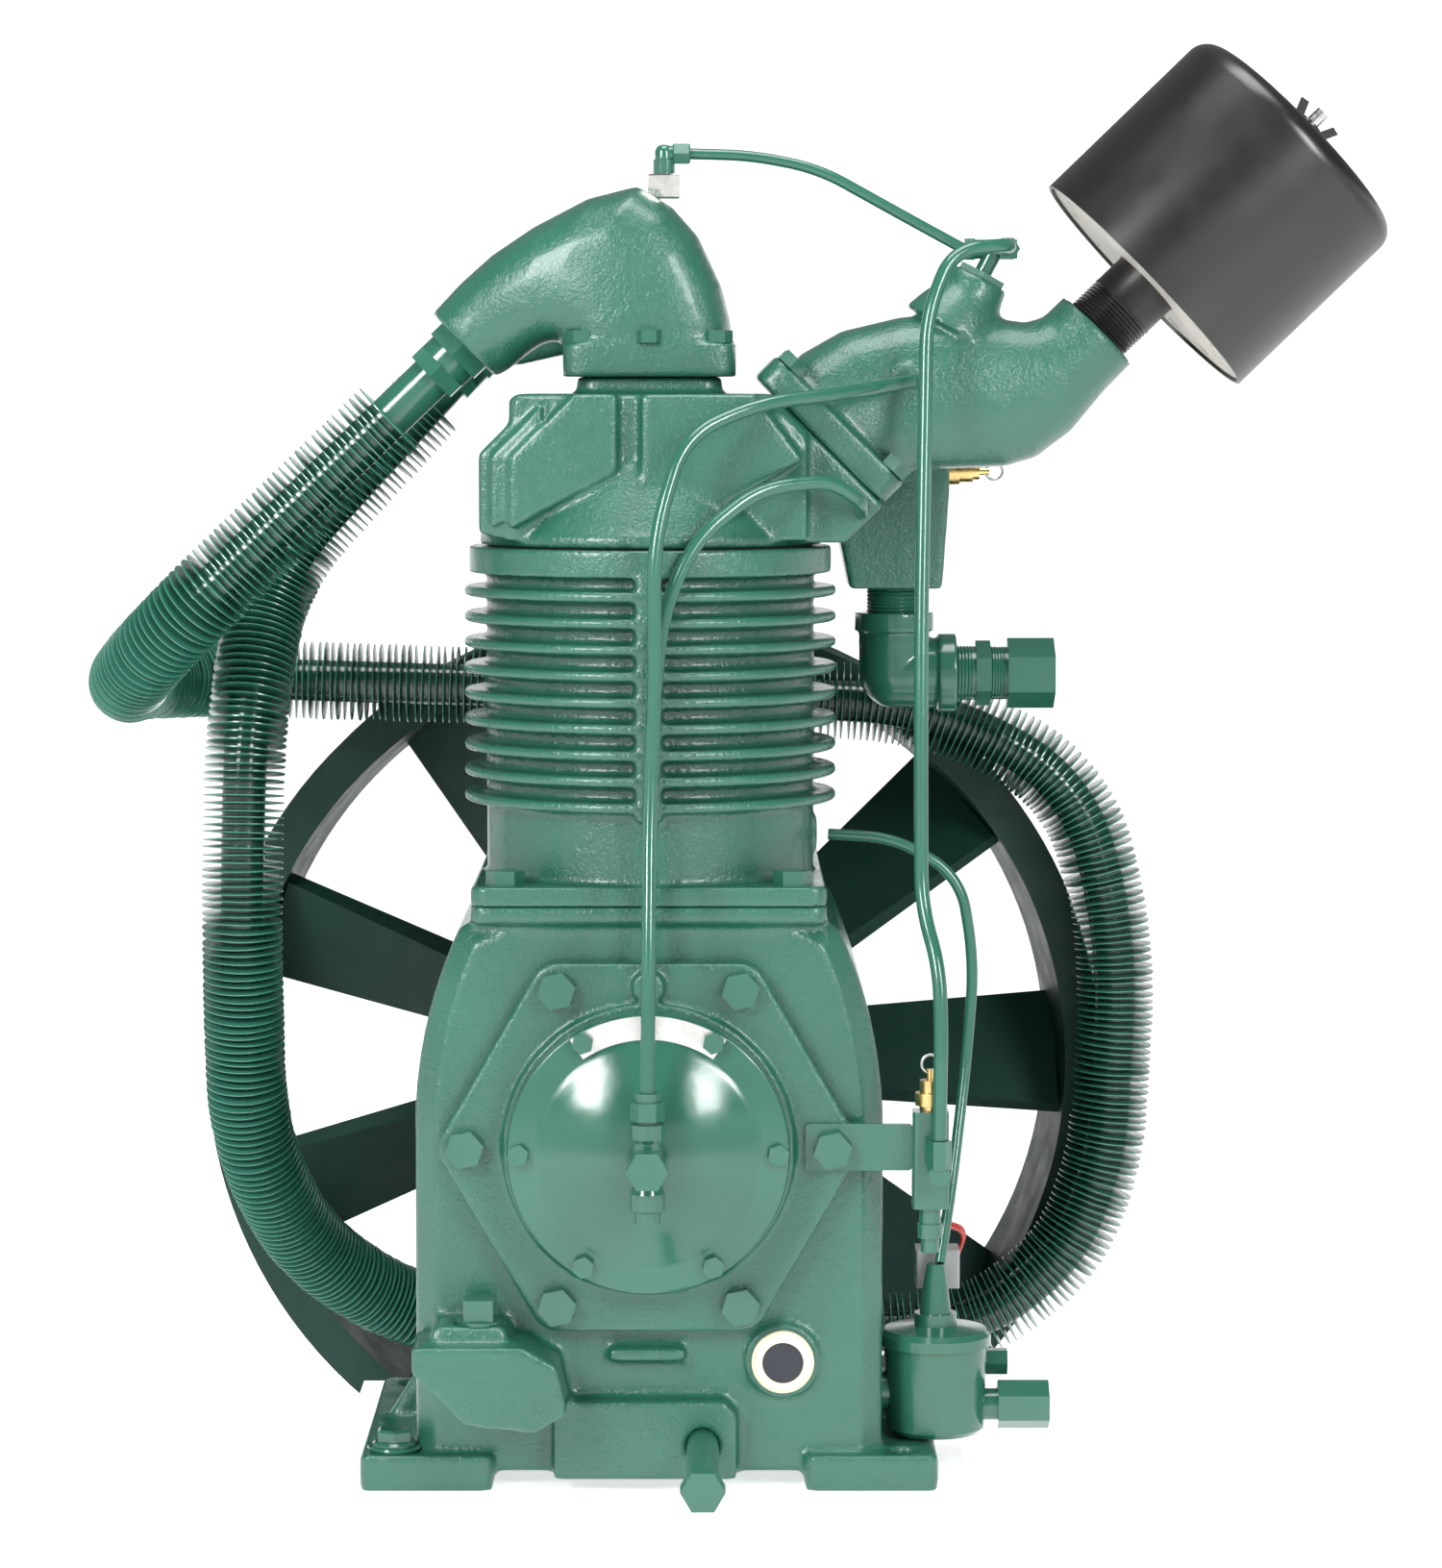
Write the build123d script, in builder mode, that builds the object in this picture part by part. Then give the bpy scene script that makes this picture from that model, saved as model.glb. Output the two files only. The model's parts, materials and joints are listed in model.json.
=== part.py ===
"""Belt-driven two-stage air compressor pump: crankcase, cylinders, head, intercooler and fan flywheel.

Millimetres.  +X is to the right seen from the bearing carrier, +Y runs back towards the flywheel, +Z is up.
The origin is the centre of the four foot bolts, on the underside of the feet.
"""
import os
from math import atan2, cos, degrees, radians, sin, tan

from build123d import *

os.makedirs("parts", exist_ok=True)

# ---------------------------------------------------------------- driving dimensions
CRANK_Z = 194.0                 # crankshaft axis above the base
THROW = 41.3                    # half the 82.6 mm stroke
FIRST_Y = -3.0                     # low-pressure cylinder axis
SECOND_Y = 113.0                    # high-pressure cylinder axis
FIRST_BORE_R = 69.85               # 5 1/2 in bore
SECOND_BORE_R = 38.1                # 3 in bore

CASE_FRONT = -95.0
CASE_REAR = 150.0
CASE_HALF = 131.0               # half width at the crankshaft
CASE_WALL = 11.0
CASE_FLOOR = 9.0                # underside of the sump between the feet
DECK_BOTTOM = 317.6
DECK_TOP = 328.0
DECK_HALF = 99.0
DECK_FRONT = -101.0
DECK_REAR = 165.0

FOOT_INNER = 87.0
FOOT_OUTER = 162.0
FOOT_HALF_DEPTH = 104.0
FOOT_THICK = 20.0
FOOT_HOLE_X = 143.0
FOOT_HOLE_Y = 87.0
FOOT_HOLE_R = 7.0

CARRIER_FRONT = -107.0
CARRIER_VERTEX_R = 117.0
CARRIER_BORE_R = 47.0
CARRIER_PCD_R = 102.0
COVER_R = 78.0
COVER_SCREW_R = 71.8
COVER_FACE = -129.0             # front of the end cover's rim
DOME_R = 60.0
VENT_TEE_Y = -160.0             # centre of the tee on the dome

BARREL_R = 93.5
FIN_R = 106.4
SECOND_BARREL_R = 46.0
SECOND_FIN_R = 52.0
FIN_THICK = 6.0
FIN_TOP_Z = 499.6
FIN_PITCH = 14.6
FIN_COUNT = 9
BASE_FLANGE_TOP = 338.7
BLOCK_TOP = 525.2
TOP_FLANGE_Z = 510.0
GASKET = 0.8
HEAD_BASE = BLOCK_TOP + GASKET
HEAD_TOP = 611.5

WHEEL_R = 279.4                 # 22 in flywheel
WHEEL_FRONT = 218.0
WHEEL_WIDTH = 80.0
WHEEL_INNER_FRONT_R = 256.6
WHEEL_INNER_REAR_R = 249.0
GROOVES = 4
GROOVE_PITCH = 19.0             # B-section belts
GROOVE_TOP_HALF = 8.3
GROOVE_FOOT_HALF = 4.5
GROOVE_DEPTH = 14.0
SPOKES = 9
HUB_R = 48.0
SHAFT_END = 296.0

PIN_Z = 448.0                   # wrist pins at top dead centre
FIRST_PIN_R = 13.0
SECOND_PIN_R = 10.0
CRANKPIN_R = 24.0
CLEAR = 0.4                     # room between moving bodies
RUN = 0.05                      # radial running clearance of a bearing

TUBE_R = 12.7                   # 1 in intercooler tube
TUBE_BORE_R = 10.9
FIN_TUBE_R = 24.0               # over the intercooler's fins
COOLER_Y = 191.0                # depth of the runs behind the cylinders
UPPER_PORT_TILT = 45.0          # both manifold ports slope at this angle

INLET_TILT = 44.0               # filter axis above horizontal
FILTER_R = 78.0
FILTER_HEIGHT = 123.0

LINE_R = 3.97                   # 5/16 in tubing
SMALL_LINE_R = 3.175            # 1/4 in tubing


# ---------------------------------------------------------------- helpers
def facing_front(y, x=0.0, z=0.0):
    """A plane at depth y whose normal looks towards the front, drawn in (X, Z)."""
    return Plane(origin=(x, y, z), x_dir=(1, 0, 0), z_dir=(0, -1, 0))


def facing(origin, normal, x_dir=(0, 1, 0)):
    return Plane(origin=origin, x_dir=x_dir, z_dir=normal)


def slope(angle):
    """Unit direction in the XZ plane, angle above +X in degrees."""
    return Vector(cos(radians(angle)), 0, sin(radians(angle)))


def disc(plane, radius, height):
    with BuildSketch(plane) as section:
        Circle(radius)
    extrude(section.sketch, amount=height)


def drill(plane, radius, depth):
    with BuildSketch(plane) as section:
        Circle(radius)
    extrude(section.sketch, amount=depth, mode=Mode.SUBTRACT)


def hexagon(plane, corner_radius, height, turn=0.0):
    with BuildSketch(plane) as section:
        RegularPolygon(corner_radius, 6, rotation=turn)
    extrude(section.sketch, amount=height)


def hex_bolt(plane, corner_radius, head, shank_radius, shank_length, turn=0.0):
    """A hexagon-head screw: the head stands on the plane and the shank goes behind it."""
    hexagon(plane, corner_radius, head, turn)
    disc(plane, shank_radius, -shank_length)


def turned(origin, direction, outline):
    """A turned piece; outline holds (distance along the axis, radius) points."""
    direction = Vector(*direction).normalized()
    side = Vector(1, 0, 0) if abs(direction.Y) > 0.9 else Vector(0, 1, 0)
    with BuildSketch(Plane(origin=origin, x_dir=direction, z_dir=side)) as section:
        with BuildLine():
            Polyline(*outline, close=True)
        make_face()
    revolve(section.sketch, axis=Axis(origin, direction))


def along(origin, direction, distance):
    """The point a distance from origin in a direction."""
    return Vector(*origin) + Vector(*direction).normalized() * distance


def ring_points(radius, count, first=0.0):
    """(x, z) places spaced evenly round a circle."""
    angles = [radians(first + 360.0 * i / count) for i in range(count)]
    return [(radius * cos(a), radius * sin(a)) for a in angles]


def prism(plane, points, height):
    """An extruded polygon with straight sides."""
    with BuildSketch(plane) as section:
        with BuildLine():
            Polyline(*points, close=True)
        make_face()
    extrude(section.sketch, amount=height)


def arc_radii(points, share=0.45):
    """Radius at each corner: as large as the two runs beside it allow."""
    radii = []
    for before, corner, after in zip(points, points[1:], points[2:]):
        run_in = Vector(*corner) - Vector(*before)
        run_out = Vector(*after) - Vector(*corner)
        turn = radians(run_in.get_angle(run_out))
        radii.append(share * min(run_in.length, run_out.length) / tan(turn / 2))
    return radii


def run_tube(points, radius, bore=0.0, share=0.45):
    """Sweep a round tube along straight runs joined by tangent arcs."""
    radii = arc_radii(points, share)
    with BuildLine() as route:
        FilletPolyline(*points, radius=radii)
    wire = route.wires()[0]
    with BuildSketch(Plane(origin=wire @ 0, z_dir=wire % 0)) as section:
        Circle(radius)
        if bore:
            Circle(bore, mode=Mode.SUBTRACT)
    sweep(sections=section.sketch, path=wire)
    print(f"tube r {radius}: length {wire.length:.1f}, arc radii", [round(r) for r in radii])


def finish(part, name):
    part.part.label = name
    export_step(part.part, f"parts/{name}.step")


# ---------------------------------------------------------------- crankcase and its covers
CASE_OUTLINE_ARC = ((CASE_HALF, CRANK_Z), (125.0, 258.0), (106.0, 314.0))
SIGHT_X, SIGHT_Z = 74.7, 72.8
DRAIN_X, DRAIN_Z = 30.0, 27.0
PLUG_X = -94.0
PLUG_Y = -113.0
FILL_TOP = 98.0
BLOCK_FRONT = -108.0            # lower middle block of the sump
FILL_FRONT = -141.0
DECK_BOLTS = [(x, y) for x in (-80.0, 80.0) for y in (-86.0, 68.0, 150.0)]
REAR_BOSS = 185.0

with BuildPart() as crankcase:
    with BuildSketch(facing_front(CASE_FRONT)):
        with BuildLine():
            Polyline((0, CASE_FLOOR), (CASE_HALF, CASE_FLOOR), CASE_OUTLINE_ARC[0])
            ThreePointArc(*CASE_OUTLINE_ARC)
            Polyline(CASE_OUTLINE_ARC[2], (98.0, DECK_BOTTOM), (0, DECK_BOTTOM), (0, CASE_FLOOR))
        make_face()
        mirror(about=Plane.YZ)
    extrude(amount=CASE_FRONT - CASE_REAR)
    chamfer(crankcase.faces().sort_by(Axis.Y)[0].edges().filter_by(
        lambda e: e.center().Z > 20 and abs(e.center().X) > 60), 12)
    with BuildSketch(Plane.XY.offset(DECK_BOTTOM)):
        with Locations((0, (DECK_FRONT + DECK_REAR) / 2)):
            RectangleRounded(2 * DECK_HALF, DECK_REAR - DECK_FRONT, 9)
    extrude(amount=DECK_TOP - DECK_BOTTOM)
    for side in (-1, 1):
        with BuildSketch(Plane.XY):
            with Locations((side * (FOOT_INNER + FOOT_OUTER) / 2, 0)):
                RectangleRounded(FOOT_OUTER - FOOT_INNER, 2 * FOOT_HALF_DEPTH, 6)
        extrude(amount=FOOT_THICK)
        prism(facing_front(-6), [(side * 120, 15), (side * 154, 15), (side * 150, 24),
                                 (side * 128, 60), (side * 120, 60)], -12)
    prism(facing_front(BLOCK_FRONT), [(-53, CASE_FLOOR - 2), (49, CASE_FLOOR - 2), (49, 44),
                                      (42, 52), (-46, 52), (-53, 44)], BLOCK_FRONT - CASE_FRONT - 4)
    prism(facing_front(CARRIER_FRONT + 3), [(-22, 73), (20, 73), (20, 81), (-22, 81)], -10)
    prism(facing_front(FILL_FRONT), [(-130, 74), (-101, 45), (-62, 41), (-44, 52), (-50, 78),
                                     (-69, 88.6), (-130, 88.6)], FILL_FRONT - CASE_FRONT - 4)
    prism(facing_front(FILL_FRONT + 12), [(-124, 85), (-74, 85), (-80, FILL_TOP), (-118, FILL_TOP)],
          FILL_FRONT - CASE_FRONT + 8)
    disc(facing_front(CASE_FRONT + 4, SIGHT_X, SIGHT_Z), 21, 8)
    disc(facing_front(CASE_REAR - 2, 0, CRANK_Z), 72, CASE_REAR - REAR_BOSS - 2)
    # room inside for the crankshaft and the oil
    with BuildSketch(facing_front(CASE_FRONT + CASE_WALL)):
        with BuildLine():
            Polyline((0, 20), (CASE_HALF - CASE_WALL, 20), (CASE_HALF - CASE_WALL, CRANK_Z))
            ThreePointArc((CASE_HALF - CASE_WALL, CRANK_Z), (114.0, 254.0), (96.0, 306.0))
            Polyline((96.0, 306.0), (0, 306.0), (0, 20))
        make_face()
        mirror(about=Plane.YZ)
    extrude(amount=CASE_FRONT - CASE_REAR + 21, mode=Mode.SUBTRACT)
    drill(facing_front(CARRIER_FRONT, 0, CRANK_Z), 82, -40)
    drill(facing_front(CASE_REAR - 20, 0, CRANK_Z), 36, -80)
    drill(facing_front(155, 0, CRANK_Z), 50, -40)
    drill(Plane((0, FIRST_Y, DECK_TOP)), 72, -30)
    drill(Plane((0, SECOND_Y, DECK_TOP)), 40, -30)
    drill(facing_front(BLOCK_FRONT - 2, DRAIN_X, DRAIN_Z), 9.1, -40)
    drill(facing_front(CASE_FRONT - 10, SIGHT_X, SIGHT_Z), 15.1, -30)
    drill(Plane((PLUG_X, PLUG_Y, FILL_TOP + 5)), 13.1, -30)
    for x, z in ring_points(CARRIER_PCD_R, 6):
        drill(facing_front(CARRIER_FRONT, x, CRANK_Z + z), 5.1, -24)
    for x, y in DECK_BOLTS:
        drill(Plane((x, y, DECK_TOP + 5)), 5.1, -26)
    for x in (-FOOT_HOLE_X, FOOT_HOLE_X):
        for y in (-FOOT_HOLE_Y, FOOT_HOLE_Y):
            drill(Plane((x, y, -1)), FOOT_HOLE_R, 30)
finish(crankcase, "crankcase")

with BuildPart() as rear_bearing_cover:
    disc(facing_front(REAR_BOSS, 0, CRANK_Z), 70, -10)
    drill(facing_front(REAR_BOSS - 1, 0, CRANK_Z), 32, -20)
    for x, z in ring_points(61, 6, 30):
        hexagon(facing_front(REAR_BOSS + 10, x, CRANK_Z + z), 8, -5)
finish(rear_bearing_cover, "rear_bearing_cover")

with BuildPart() as main_bearings:
    disc(facing_front(CARRIER_FRONT + 8, 0, CRANK_Z), CARRIER_BORE_R - RUN, -20)
    drill(facing_front(CARRIER_FRONT + 7, 0, CRANK_Z), 22 + RUN, -24)
    disc(facing_front(157, 0, CRANK_Z), 49.9, -24)
    drill(facing_front(156, 0, CRANK_Z), 25 + RUN, -28)
finish(main_bearings, "main_bearings")

CARRIER_RING = CARRIER_FRONT - 5
with BuildPart() as bearing_carrier:
    with BuildSketch(facing_front(CARRIER_FRONT, 0, CRANK_Z)) as lobes:
        RegularPolygon(CARRIER_VERTEX_R + 2, 6)
        fillet(lobes.vertices(), 16)
    extrude(amount=CARRIER_FRONT - CASE_FRONT)
    disc(facing_front(CARRIER_FRONT, 0, CRANK_Z), 81, CARRIER_FRONT - CARRIER_RING)
    disc(facing_front(CASE_FRONT, 0, CRANK_Z), 81.9, -20)
    disc(facing_front(CARRIER_FRONT, 0, 284), 9, 6)
    drill(facing_front(CARRIER_FRONT + 8, 0, CRANK_Z), CARRIER_BORE_R, -40)
    drill(facing_front(CARRIER_FRONT - 10, 0, CRANK_Z), 40, -40)
    for x, z in ring_points(CARRIER_PCD_R, 6):
        drill(facing_front(CARRIER_FRONT - 1, x, CRANK_Z + z), 5.1, -14)
    for x, z in ring_points(COVER_SCREW_R, 6):
        drill(facing_front(CARRIER_RING - 1, x, CRANK_Z + z), 3.1, -12)
finish(bearing_carrier, "bearing_carrier")

BRACKET_THICK = 3.0
with BuildPart() as carrier_bolts:
    for index, (x, z) in enumerate(ring_points(CARRIER_PCD_R, 6)):
        seat = CARRIER_FRONT - (BRACKET_THICK if index == 0 else 0)
        hex_bolt(facing_front(seat, x, CRANK_Z + z), 10.9, 8, 5, 24, 12)
        disc(facing_front(seat, x, CRANK_Z + z), 10.2, 1.2)
finish(carrier_bolts, "carrier_bolts")

with BuildPart() as end_cover:
    turned((0, CARRIER_RING, CRANK_Z), (0, -1, 0), [
        (0, COVER_R), (13, COVER_R), (17, COVER_R - 4), (17, DOME_R + 2), (27, 44), (34, 24), (36, 0),
        (28, 0), (26, 22), (19, 40), (6, DOME_R - 6), (0, DOME_R - 6)])
    drill(facing_front(COVER_FACE - 30, 0, CRANK_Z), 6.1, -40)
    for x, z in ring_points(COVER_SCREW_R, 6):
        drill(facing_front(COVER_FACE - 5, x, CRANK_Z + z), 3.1, -30)
finish(end_cover, "end_cover")

PLATE_THICK = 0.8
with BuildPart() as data_plate:
    with BuildSketch(facing_front(COVER_FACE, 0, CRANK_Z)) as plate:
        Circle(COVER_SCREW_R + 5)
        Circle(COVER_SCREW_R - 8, mode=Mode.SUBTRACT)
        with BuildLine():
            Polyline((0, 0), ring_points(150, 360)[56], ring_points(150, 360)[124], close=True)
        make_face(mode=Mode.INTERSECT)
        with Locations(*[ring_points(COVER_SCREW_R, 6)[i] for i in (1, 2)]):
            Circle(3.3, mode=Mode.SUBTRACT)
    extrude(amount=PLATE_THICK)
finish(data_plate, "data_plate")

with BuildPart() as end_cover_screws:
    for index, (x, z) in enumerate(ring_points(COVER_SCREW_R, 6)):
        seat = COVER_FACE - (PLATE_THICK if index in (1, 2) else 0)
        hex_bolt(facing_front(seat, x, CRANK_Z + z), 6.2, 4.5, 3, 22, 20)
finish(end_cover_screws, "end_cover_screws")

DOME_NOSE = CARRIER_RING - 36
with BuildPart() as vent_tee:
    turned((0, DOME_NOSE + 8, CRANK_Z), (0, -1, 0), [
        (0, 0), (0, 6), (8, 6), (8, 12), (14, 12), (14, 9), (34, 9), (34, 0)])
    turned((0, VENT_TEE_Y, CRANK_Z - 32), (0, 0, 1), [
        (0, 0), (0, 7), (6, 7), (7, 9.5), (16, 9.5), (20, 8), (44, 8), (46, 9.5), (54, 9.5), (54, 6),
        (56, 6), (56, 0)])
    hexagon(facing_front(DOME_NOSE - 26, 0, CRANK_Z), 11.5, 14)
    hexagon(Plane((0, VENT_TEE_Y, CRANK_Z + 24)), 9.5, 10)
    disc(Plane((0, VENT_TEE_Y, CRANK_Z + 34)), 6.5, 5)
    drill(Plane((0, VENT_TEE_Y, CRANK_Z + 30)), LINE_R, 20)
finish(vent_tee, "vent_tee")

with BuildPart() as sight_glass_bezel:
    turned((SIGHT_X, CASE_FRONT - 4, SIGHT_Z), (0, -1, 0), [
        (0, 11.5), (0, 17.4), (4, 17.4), (6, 15), (6, 11.5)])
    disc(facing_front(CASE_FRONT - 4, SIGHT_X, SIGHT_Z), 15, -13)
    drill(facing_front(CASE_FRONT - 12, SIGHT_X, SIGHT_Z), 11.5, -40)
finish(sight_glass_bezel, "sight_glass_bezel")

with BuildPart() as sight_glass_lens:
    disc(facing_front(CASE_FRONT - 8, SIGHT_X, SIGHT_Z), 11.5, -8)
finish(sight_glass_lens, "sight_glass_lens")

DRAIN_END = -214.0
with BuildPart() as drain_pipe:
    disc(facing_front(BLOCK_FRONT + 26, DRAIN_X, DRAIN_Z), 9, BLOCK_FRONT + 26 - DRAIN_END)
    drill(facing_front(BLOCK_FRONT + 28, DRAIN_X, DRAIN_Z), 6.5, BLOCK_FRONT + 30 - DRAIN_END)
finish(drain_pipe, "drain_pipe")

with BuildPart() as drain_cap:
    hexagon(facing_front(DRAIN_END + 12, DRAIN_X, DRAIN_Z), 12.2, 18)
    drill(facing_front(DRAIN_END + 13, DRAIN_X, DRAIN_Z), 9, 13)
finish(drain_cap, "drain_cap")

with BuildPart() as oil_fill_plug:
    turned((PLUG_X, PLUG_Y, FILL_TOP - 16), (0, 0, 1), [(0, 0), (0, 12), (2, 13), (17, 13), (17, 0)])
    with BuildSketch(Plane((PLUG_X, PLUG_Y, FILL_TOP + 1))):
        RectangleRounded(17, 17, 2)
    extrude(amount=12)
finish(oil_fill_plug, "oil_fill_plug")

# ---------------------------------------------------------------- crankshaft, flywheel and running gear
WEBS = ((-40.0, -19.0), (14.0, 33.0), (80.0, 99.0), (127.0, 137.0))
CRANKPINS = ((-20.0, 15.0), (98.0, 128.0))
PIN_CENTRE = CRANK_Z + THROW


with BuildPart() as crankshaft:
    disc(facing_front(CARRIER_FRONT + 5, 0, CRANK_Z), 22, -80)
    disc(facing_front(32, 0, CRANK_Z), 30, -50)
    disc(facing_front(136, 0, CRANK_Z), 25, 136 - SHAFT_END)
    for front, rear in WEBS:
        with BuildSketch(facing_front(front, 0, CRANK_Z)):
            with Locations((0, THROW)):
                Circle(34)
            Rectangle(68, 2 * THROW, align=(Align.CENTER, Align.CENTER))
            Circle(88)
            with Locations((0, 66)):
                Rectangle(190, 110, mode=Mode.SUBTRACT)
            with Locations((0, 20)):
                Rectangle(68, 2 * THROW - 10)
            with Locations((0, THROW)):
                Circle(34)
        extrude(amount=front - rear)
    for front, rear in CRANKPINS:
        disc(facing_front(front, 0, PIN_CENTRE), CRANKPIN_R, front - rear)
    disc(facing_front(SECOND_Y - 12, 0, PIN_CENTRE), 34, -24)
    chamfer(crankshaft.faces().sort_by(Axis.Y)[-1].edges(), 2)
finish(crankshaft, "crankshaft")


def rod(part_y, width, small_half, pin_radius, big_width):
    """A connecting rod: a ring round the crankpin and a shank that ends in a shallow saddle."""
    front = part_y - width / 2
    with BuildSketch(facing_front(front, 0, PIN_CENTRE)) as outline:
        Circle(big_width)
        with BuildLine():
            Polyline((-22, 24), (-small_half, PIN_Z - PIN_CENTRE - 16), (-small_half, PIN_Z - PIN_CENTRE),
                     (small_half, PIN_Z - PIN_CENTRE), (small_half, PIN_Z - PIN_CENTRE - 16), (22, 24),
                     close=True)
        make_face()
        Circle(CRANKPIN_R + RUN, mode=Mode.SUBTRACT)
        with Locations((0, PIN_Z - PIN_CENTRE + THROW)):
            Circle(THROW + pin_radius + CLEAR, mode=Mode.SUBTRACT)
    extrude(outline.sketch, amount=-width)


with BuildPart() as first_stage_rod:
    rod(FIRST_Y, 28, 18, FIRST_PIN_R, 36)
finish(first_stage_rod, "first_stage_rod")

# the high-pressure rod stays with its piston; its big end is left open round the crankpin's sweep
SWEEP_R = THROW + 36 + CLEAR
with BuildPart() as second_stage_rod:
    with BuildSketch(facing_front(SECOND_Y - 12, 0, CRANK_Z)) as second_rod_outline:
        with BuildLine():
            Polyline((-14, 60), (-11, PIN_Z - CRANK_Z - 15), (11, PIN_Z - CRANK_Z - 15), (14, 60),
                     close=True)
        make_face()
        with Locations((0, PIN_Z - CRANK_Z)):
            Circle(17)
            Circle(SECOND_PIN_R, mode=Mode.SUBTRACT)
        Circle(SWEEP_R, mode=Mode.SUBTRACT)
    extrude(amount=-24)
finish(second_stage_rod, "second_stage_rod")


def piston(centre_y, radius, skirt_bottom, pin_radius, wall):
    """A trunk piston at top dead centre, open below, with ring grooves and bosses for its pin."""
    crown = TOP_FLANGE_Z - 2
    groove = [(crown - 7 - 7 * i, radius) for i in range(3)]
    outline = [(crown, 0), (crown, radius)]
    for z, r in groove:
        outline += [(z, r), (z, r - 3), (z - 3, r - 3), (z - 3, r)]
    outline += [(skirt_bottom, radius), (skirt_bottom, radius - wall), (crown - 34, radius - wall),
                (crown - 34, radius - wall - 3), (crown - 30, radius - wall - 8), (crown - 30, 0)]
    turned((0, centre_y, 0), (0, 0, 1), outline)
    drill(facing_front(centre_y - 100, 0, PIN_Z), pin_radius, -200)


with BuildPart() as pistons:
    piston(FIRST_Y, FIRST_BORE_R - 0.1, 415, FIRST_PIN_R, 7)
    piston(SECOND_Y, SECOND_BORE_R - 0.1, 425, SECOND_PIN_R, 5)
finish(pistons, "pistons")

with BuildPart() as wrist_pins:
    disc(facing_front(FIRST_Y - 62, 0, PIN_Z), FIRST_PIN_R, -124)
    drill(facing_front(FIRST_Y - 63, 0, PIN_Z), 7, -126)
    disc(facing_front(SECOND_Y - 33, 0, PIN_Z), SECOND_PIN_R, -66)
    drill(facing_front(SECOND_Y - 34, 0, PIN_Z), 5, -68)
finish(wrist_pins, "wrist_pins")


def rim_outline():
    """Half section of the rim, (distance back from its front, radius), with the belt grooves."""
    outline = [(0, WHEEL_INNER_FRONT_R), (0, WHEEL_R)]
    first = (WHEEL_WIDTH - (GROOVES - 1) * GROOVE_PITCH) / 2
    for i in range(GROOVES):
        centre = first + i * GROOVE_PITCH
        outline += [(centre - GROOVE_TOP_HALF, WHEEL_R), (centre - GROOVE_FOOT_HALF, WHEEL_R - GROOVE_DEPTH),
                    (centre + GROOVE_FOOT_HALF, WHEEL_R - GROOVE_DEPTH), (centre + GROOVE_TOP_HALF, WHEEL_R)]
    return outline + [(WHEEL_WIDTH, WHEEL_R), (WHEEL_WIDTH, WHEEL_INNER_REAR_R)]


BLADE_ROOT_R = 40.0
BLADE_TIP_R = 253.0
with BuildPart() as blade:
    with BuildSketch(Plane(origin=(BLADE_ROOT_R, WHEEL_FRONT + 38, CRANK_Z), x_dir=(0, 1, 0),
                           z_dir=(1, 0, 0))):
        Rectangle(50, 15, rotation=35)
    with BuildSketch(Plane(origin=(BLADE_TIP_R, WHEEL_FRONT + 38, CRANK_Z), x_dir=(0, 1, 0),
                           z_dir=(1, 0, 0))):
        Rectangle(84, 9, rotation=52)
    loft()

with BuildPart() as flywheel:
    turned((0, WHEEL_FRONT, CRANK_Z), (0, 1, 0), rim_outline())
    disc(facing_front(WHEEL_FRONT, 0, CRANK_Z), HUB_R, -74)
    for i in range(SPOKES):
        add(blade.part.rotate(Axis((0, 0, CRANK_Z), (0, -1, 0)), 0.6 + 360 / SPOKES * i))
    drill(facing_front(WHEEL_FRONT - 1, 0, CRANK_Z), 25, -80)
finish(flywheel, "flywheel")

# ---------------------------------------------------------------- cylinders and head
def two_bores(plane, first_radius, second_radius, height):
    """A plate round both cylinders: two circles joined by a straight web, bored or solid."""
    with BuildSketch(plane) as outline:
        with Locations((0, FIRST_Y)):
            Circle(first_radius)
        with Locations((0, SECOND_Y)):
            Circle(second_radius)
        with Locations((0, (FIRST_Y + SECOND_Y) / 2)):
            Rectangle(2 * second_radius, SECOND_Y - FIRST_Y)
    extrude(outline.sketch, amount=height)


with BuildPart() as cooling_fin:
    two_bores(Plane.XY, FIN_R, SECOND_FIN_R, FIN_THICK)
    fillet(cooling_fin.edges(), 2.4)

with BuildPart() as cylinder_block:
    with BuildSketch(Plane.XY.offset(DECK_TOP)):
        with Locations((0, (DECK_FRONT + DECK_REAR) / 2)):
            RectangleRounded(2 * DECK_HALF, DECK_REAR - DECK_FRONT, 9)
    extrude(amount=BASE_FLANGE_TOP - DECK_TOP)
    two_bores(Plane.XY.offset(DECK_TOP), BARREL_R, SECOND_BARREL_R, BLOCK_TOP - DECK_TOP)
    two_bores(Plane.XY.offset(TOP_FLANGE_Z), FIN_R - 3, SECOND_FIN_R, BLOCK_TOP - TOP_FLANGE_Z)
    for i in range(FIN_COUNT):
        fin_bottom = FIN_TOP_Z - i * FIN_PITCH - FIN_THICK / 2
        add(cooling_fin.part.moved(Location((0, 0, fin_bottom))))
    with BuildSketch(Plane.XY.offset(BASE_FLANGE_TOP + 36)):
        with Locations((0, FIRST_Y - FIN_R + 12)):
            RectangleRounded(14, 22, 3)
    extrude(amount=TOP_FLANGE_Z - BASE_FLANGE_TOP - 36)
    disc(facing((BARREL_R - 3, FIRST_Y, 360), (1, 0, 0)), 10, 5)
    drill(Plane((0, FIRST_Y, DECK_TOP - 1)), FIRST_BORE_R, 250)
    drill(Plane((0, SECOND_Y, DECK_TOP - 1)), SECOND_BORE_R, 250)
    for x, y in DECK_BOLTS:
        drill(Plane((x, y, BASE_FLANGE_TOP + 1)), 5.1, -20)
finish(cylinder_block, "cylinder_block")

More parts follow.
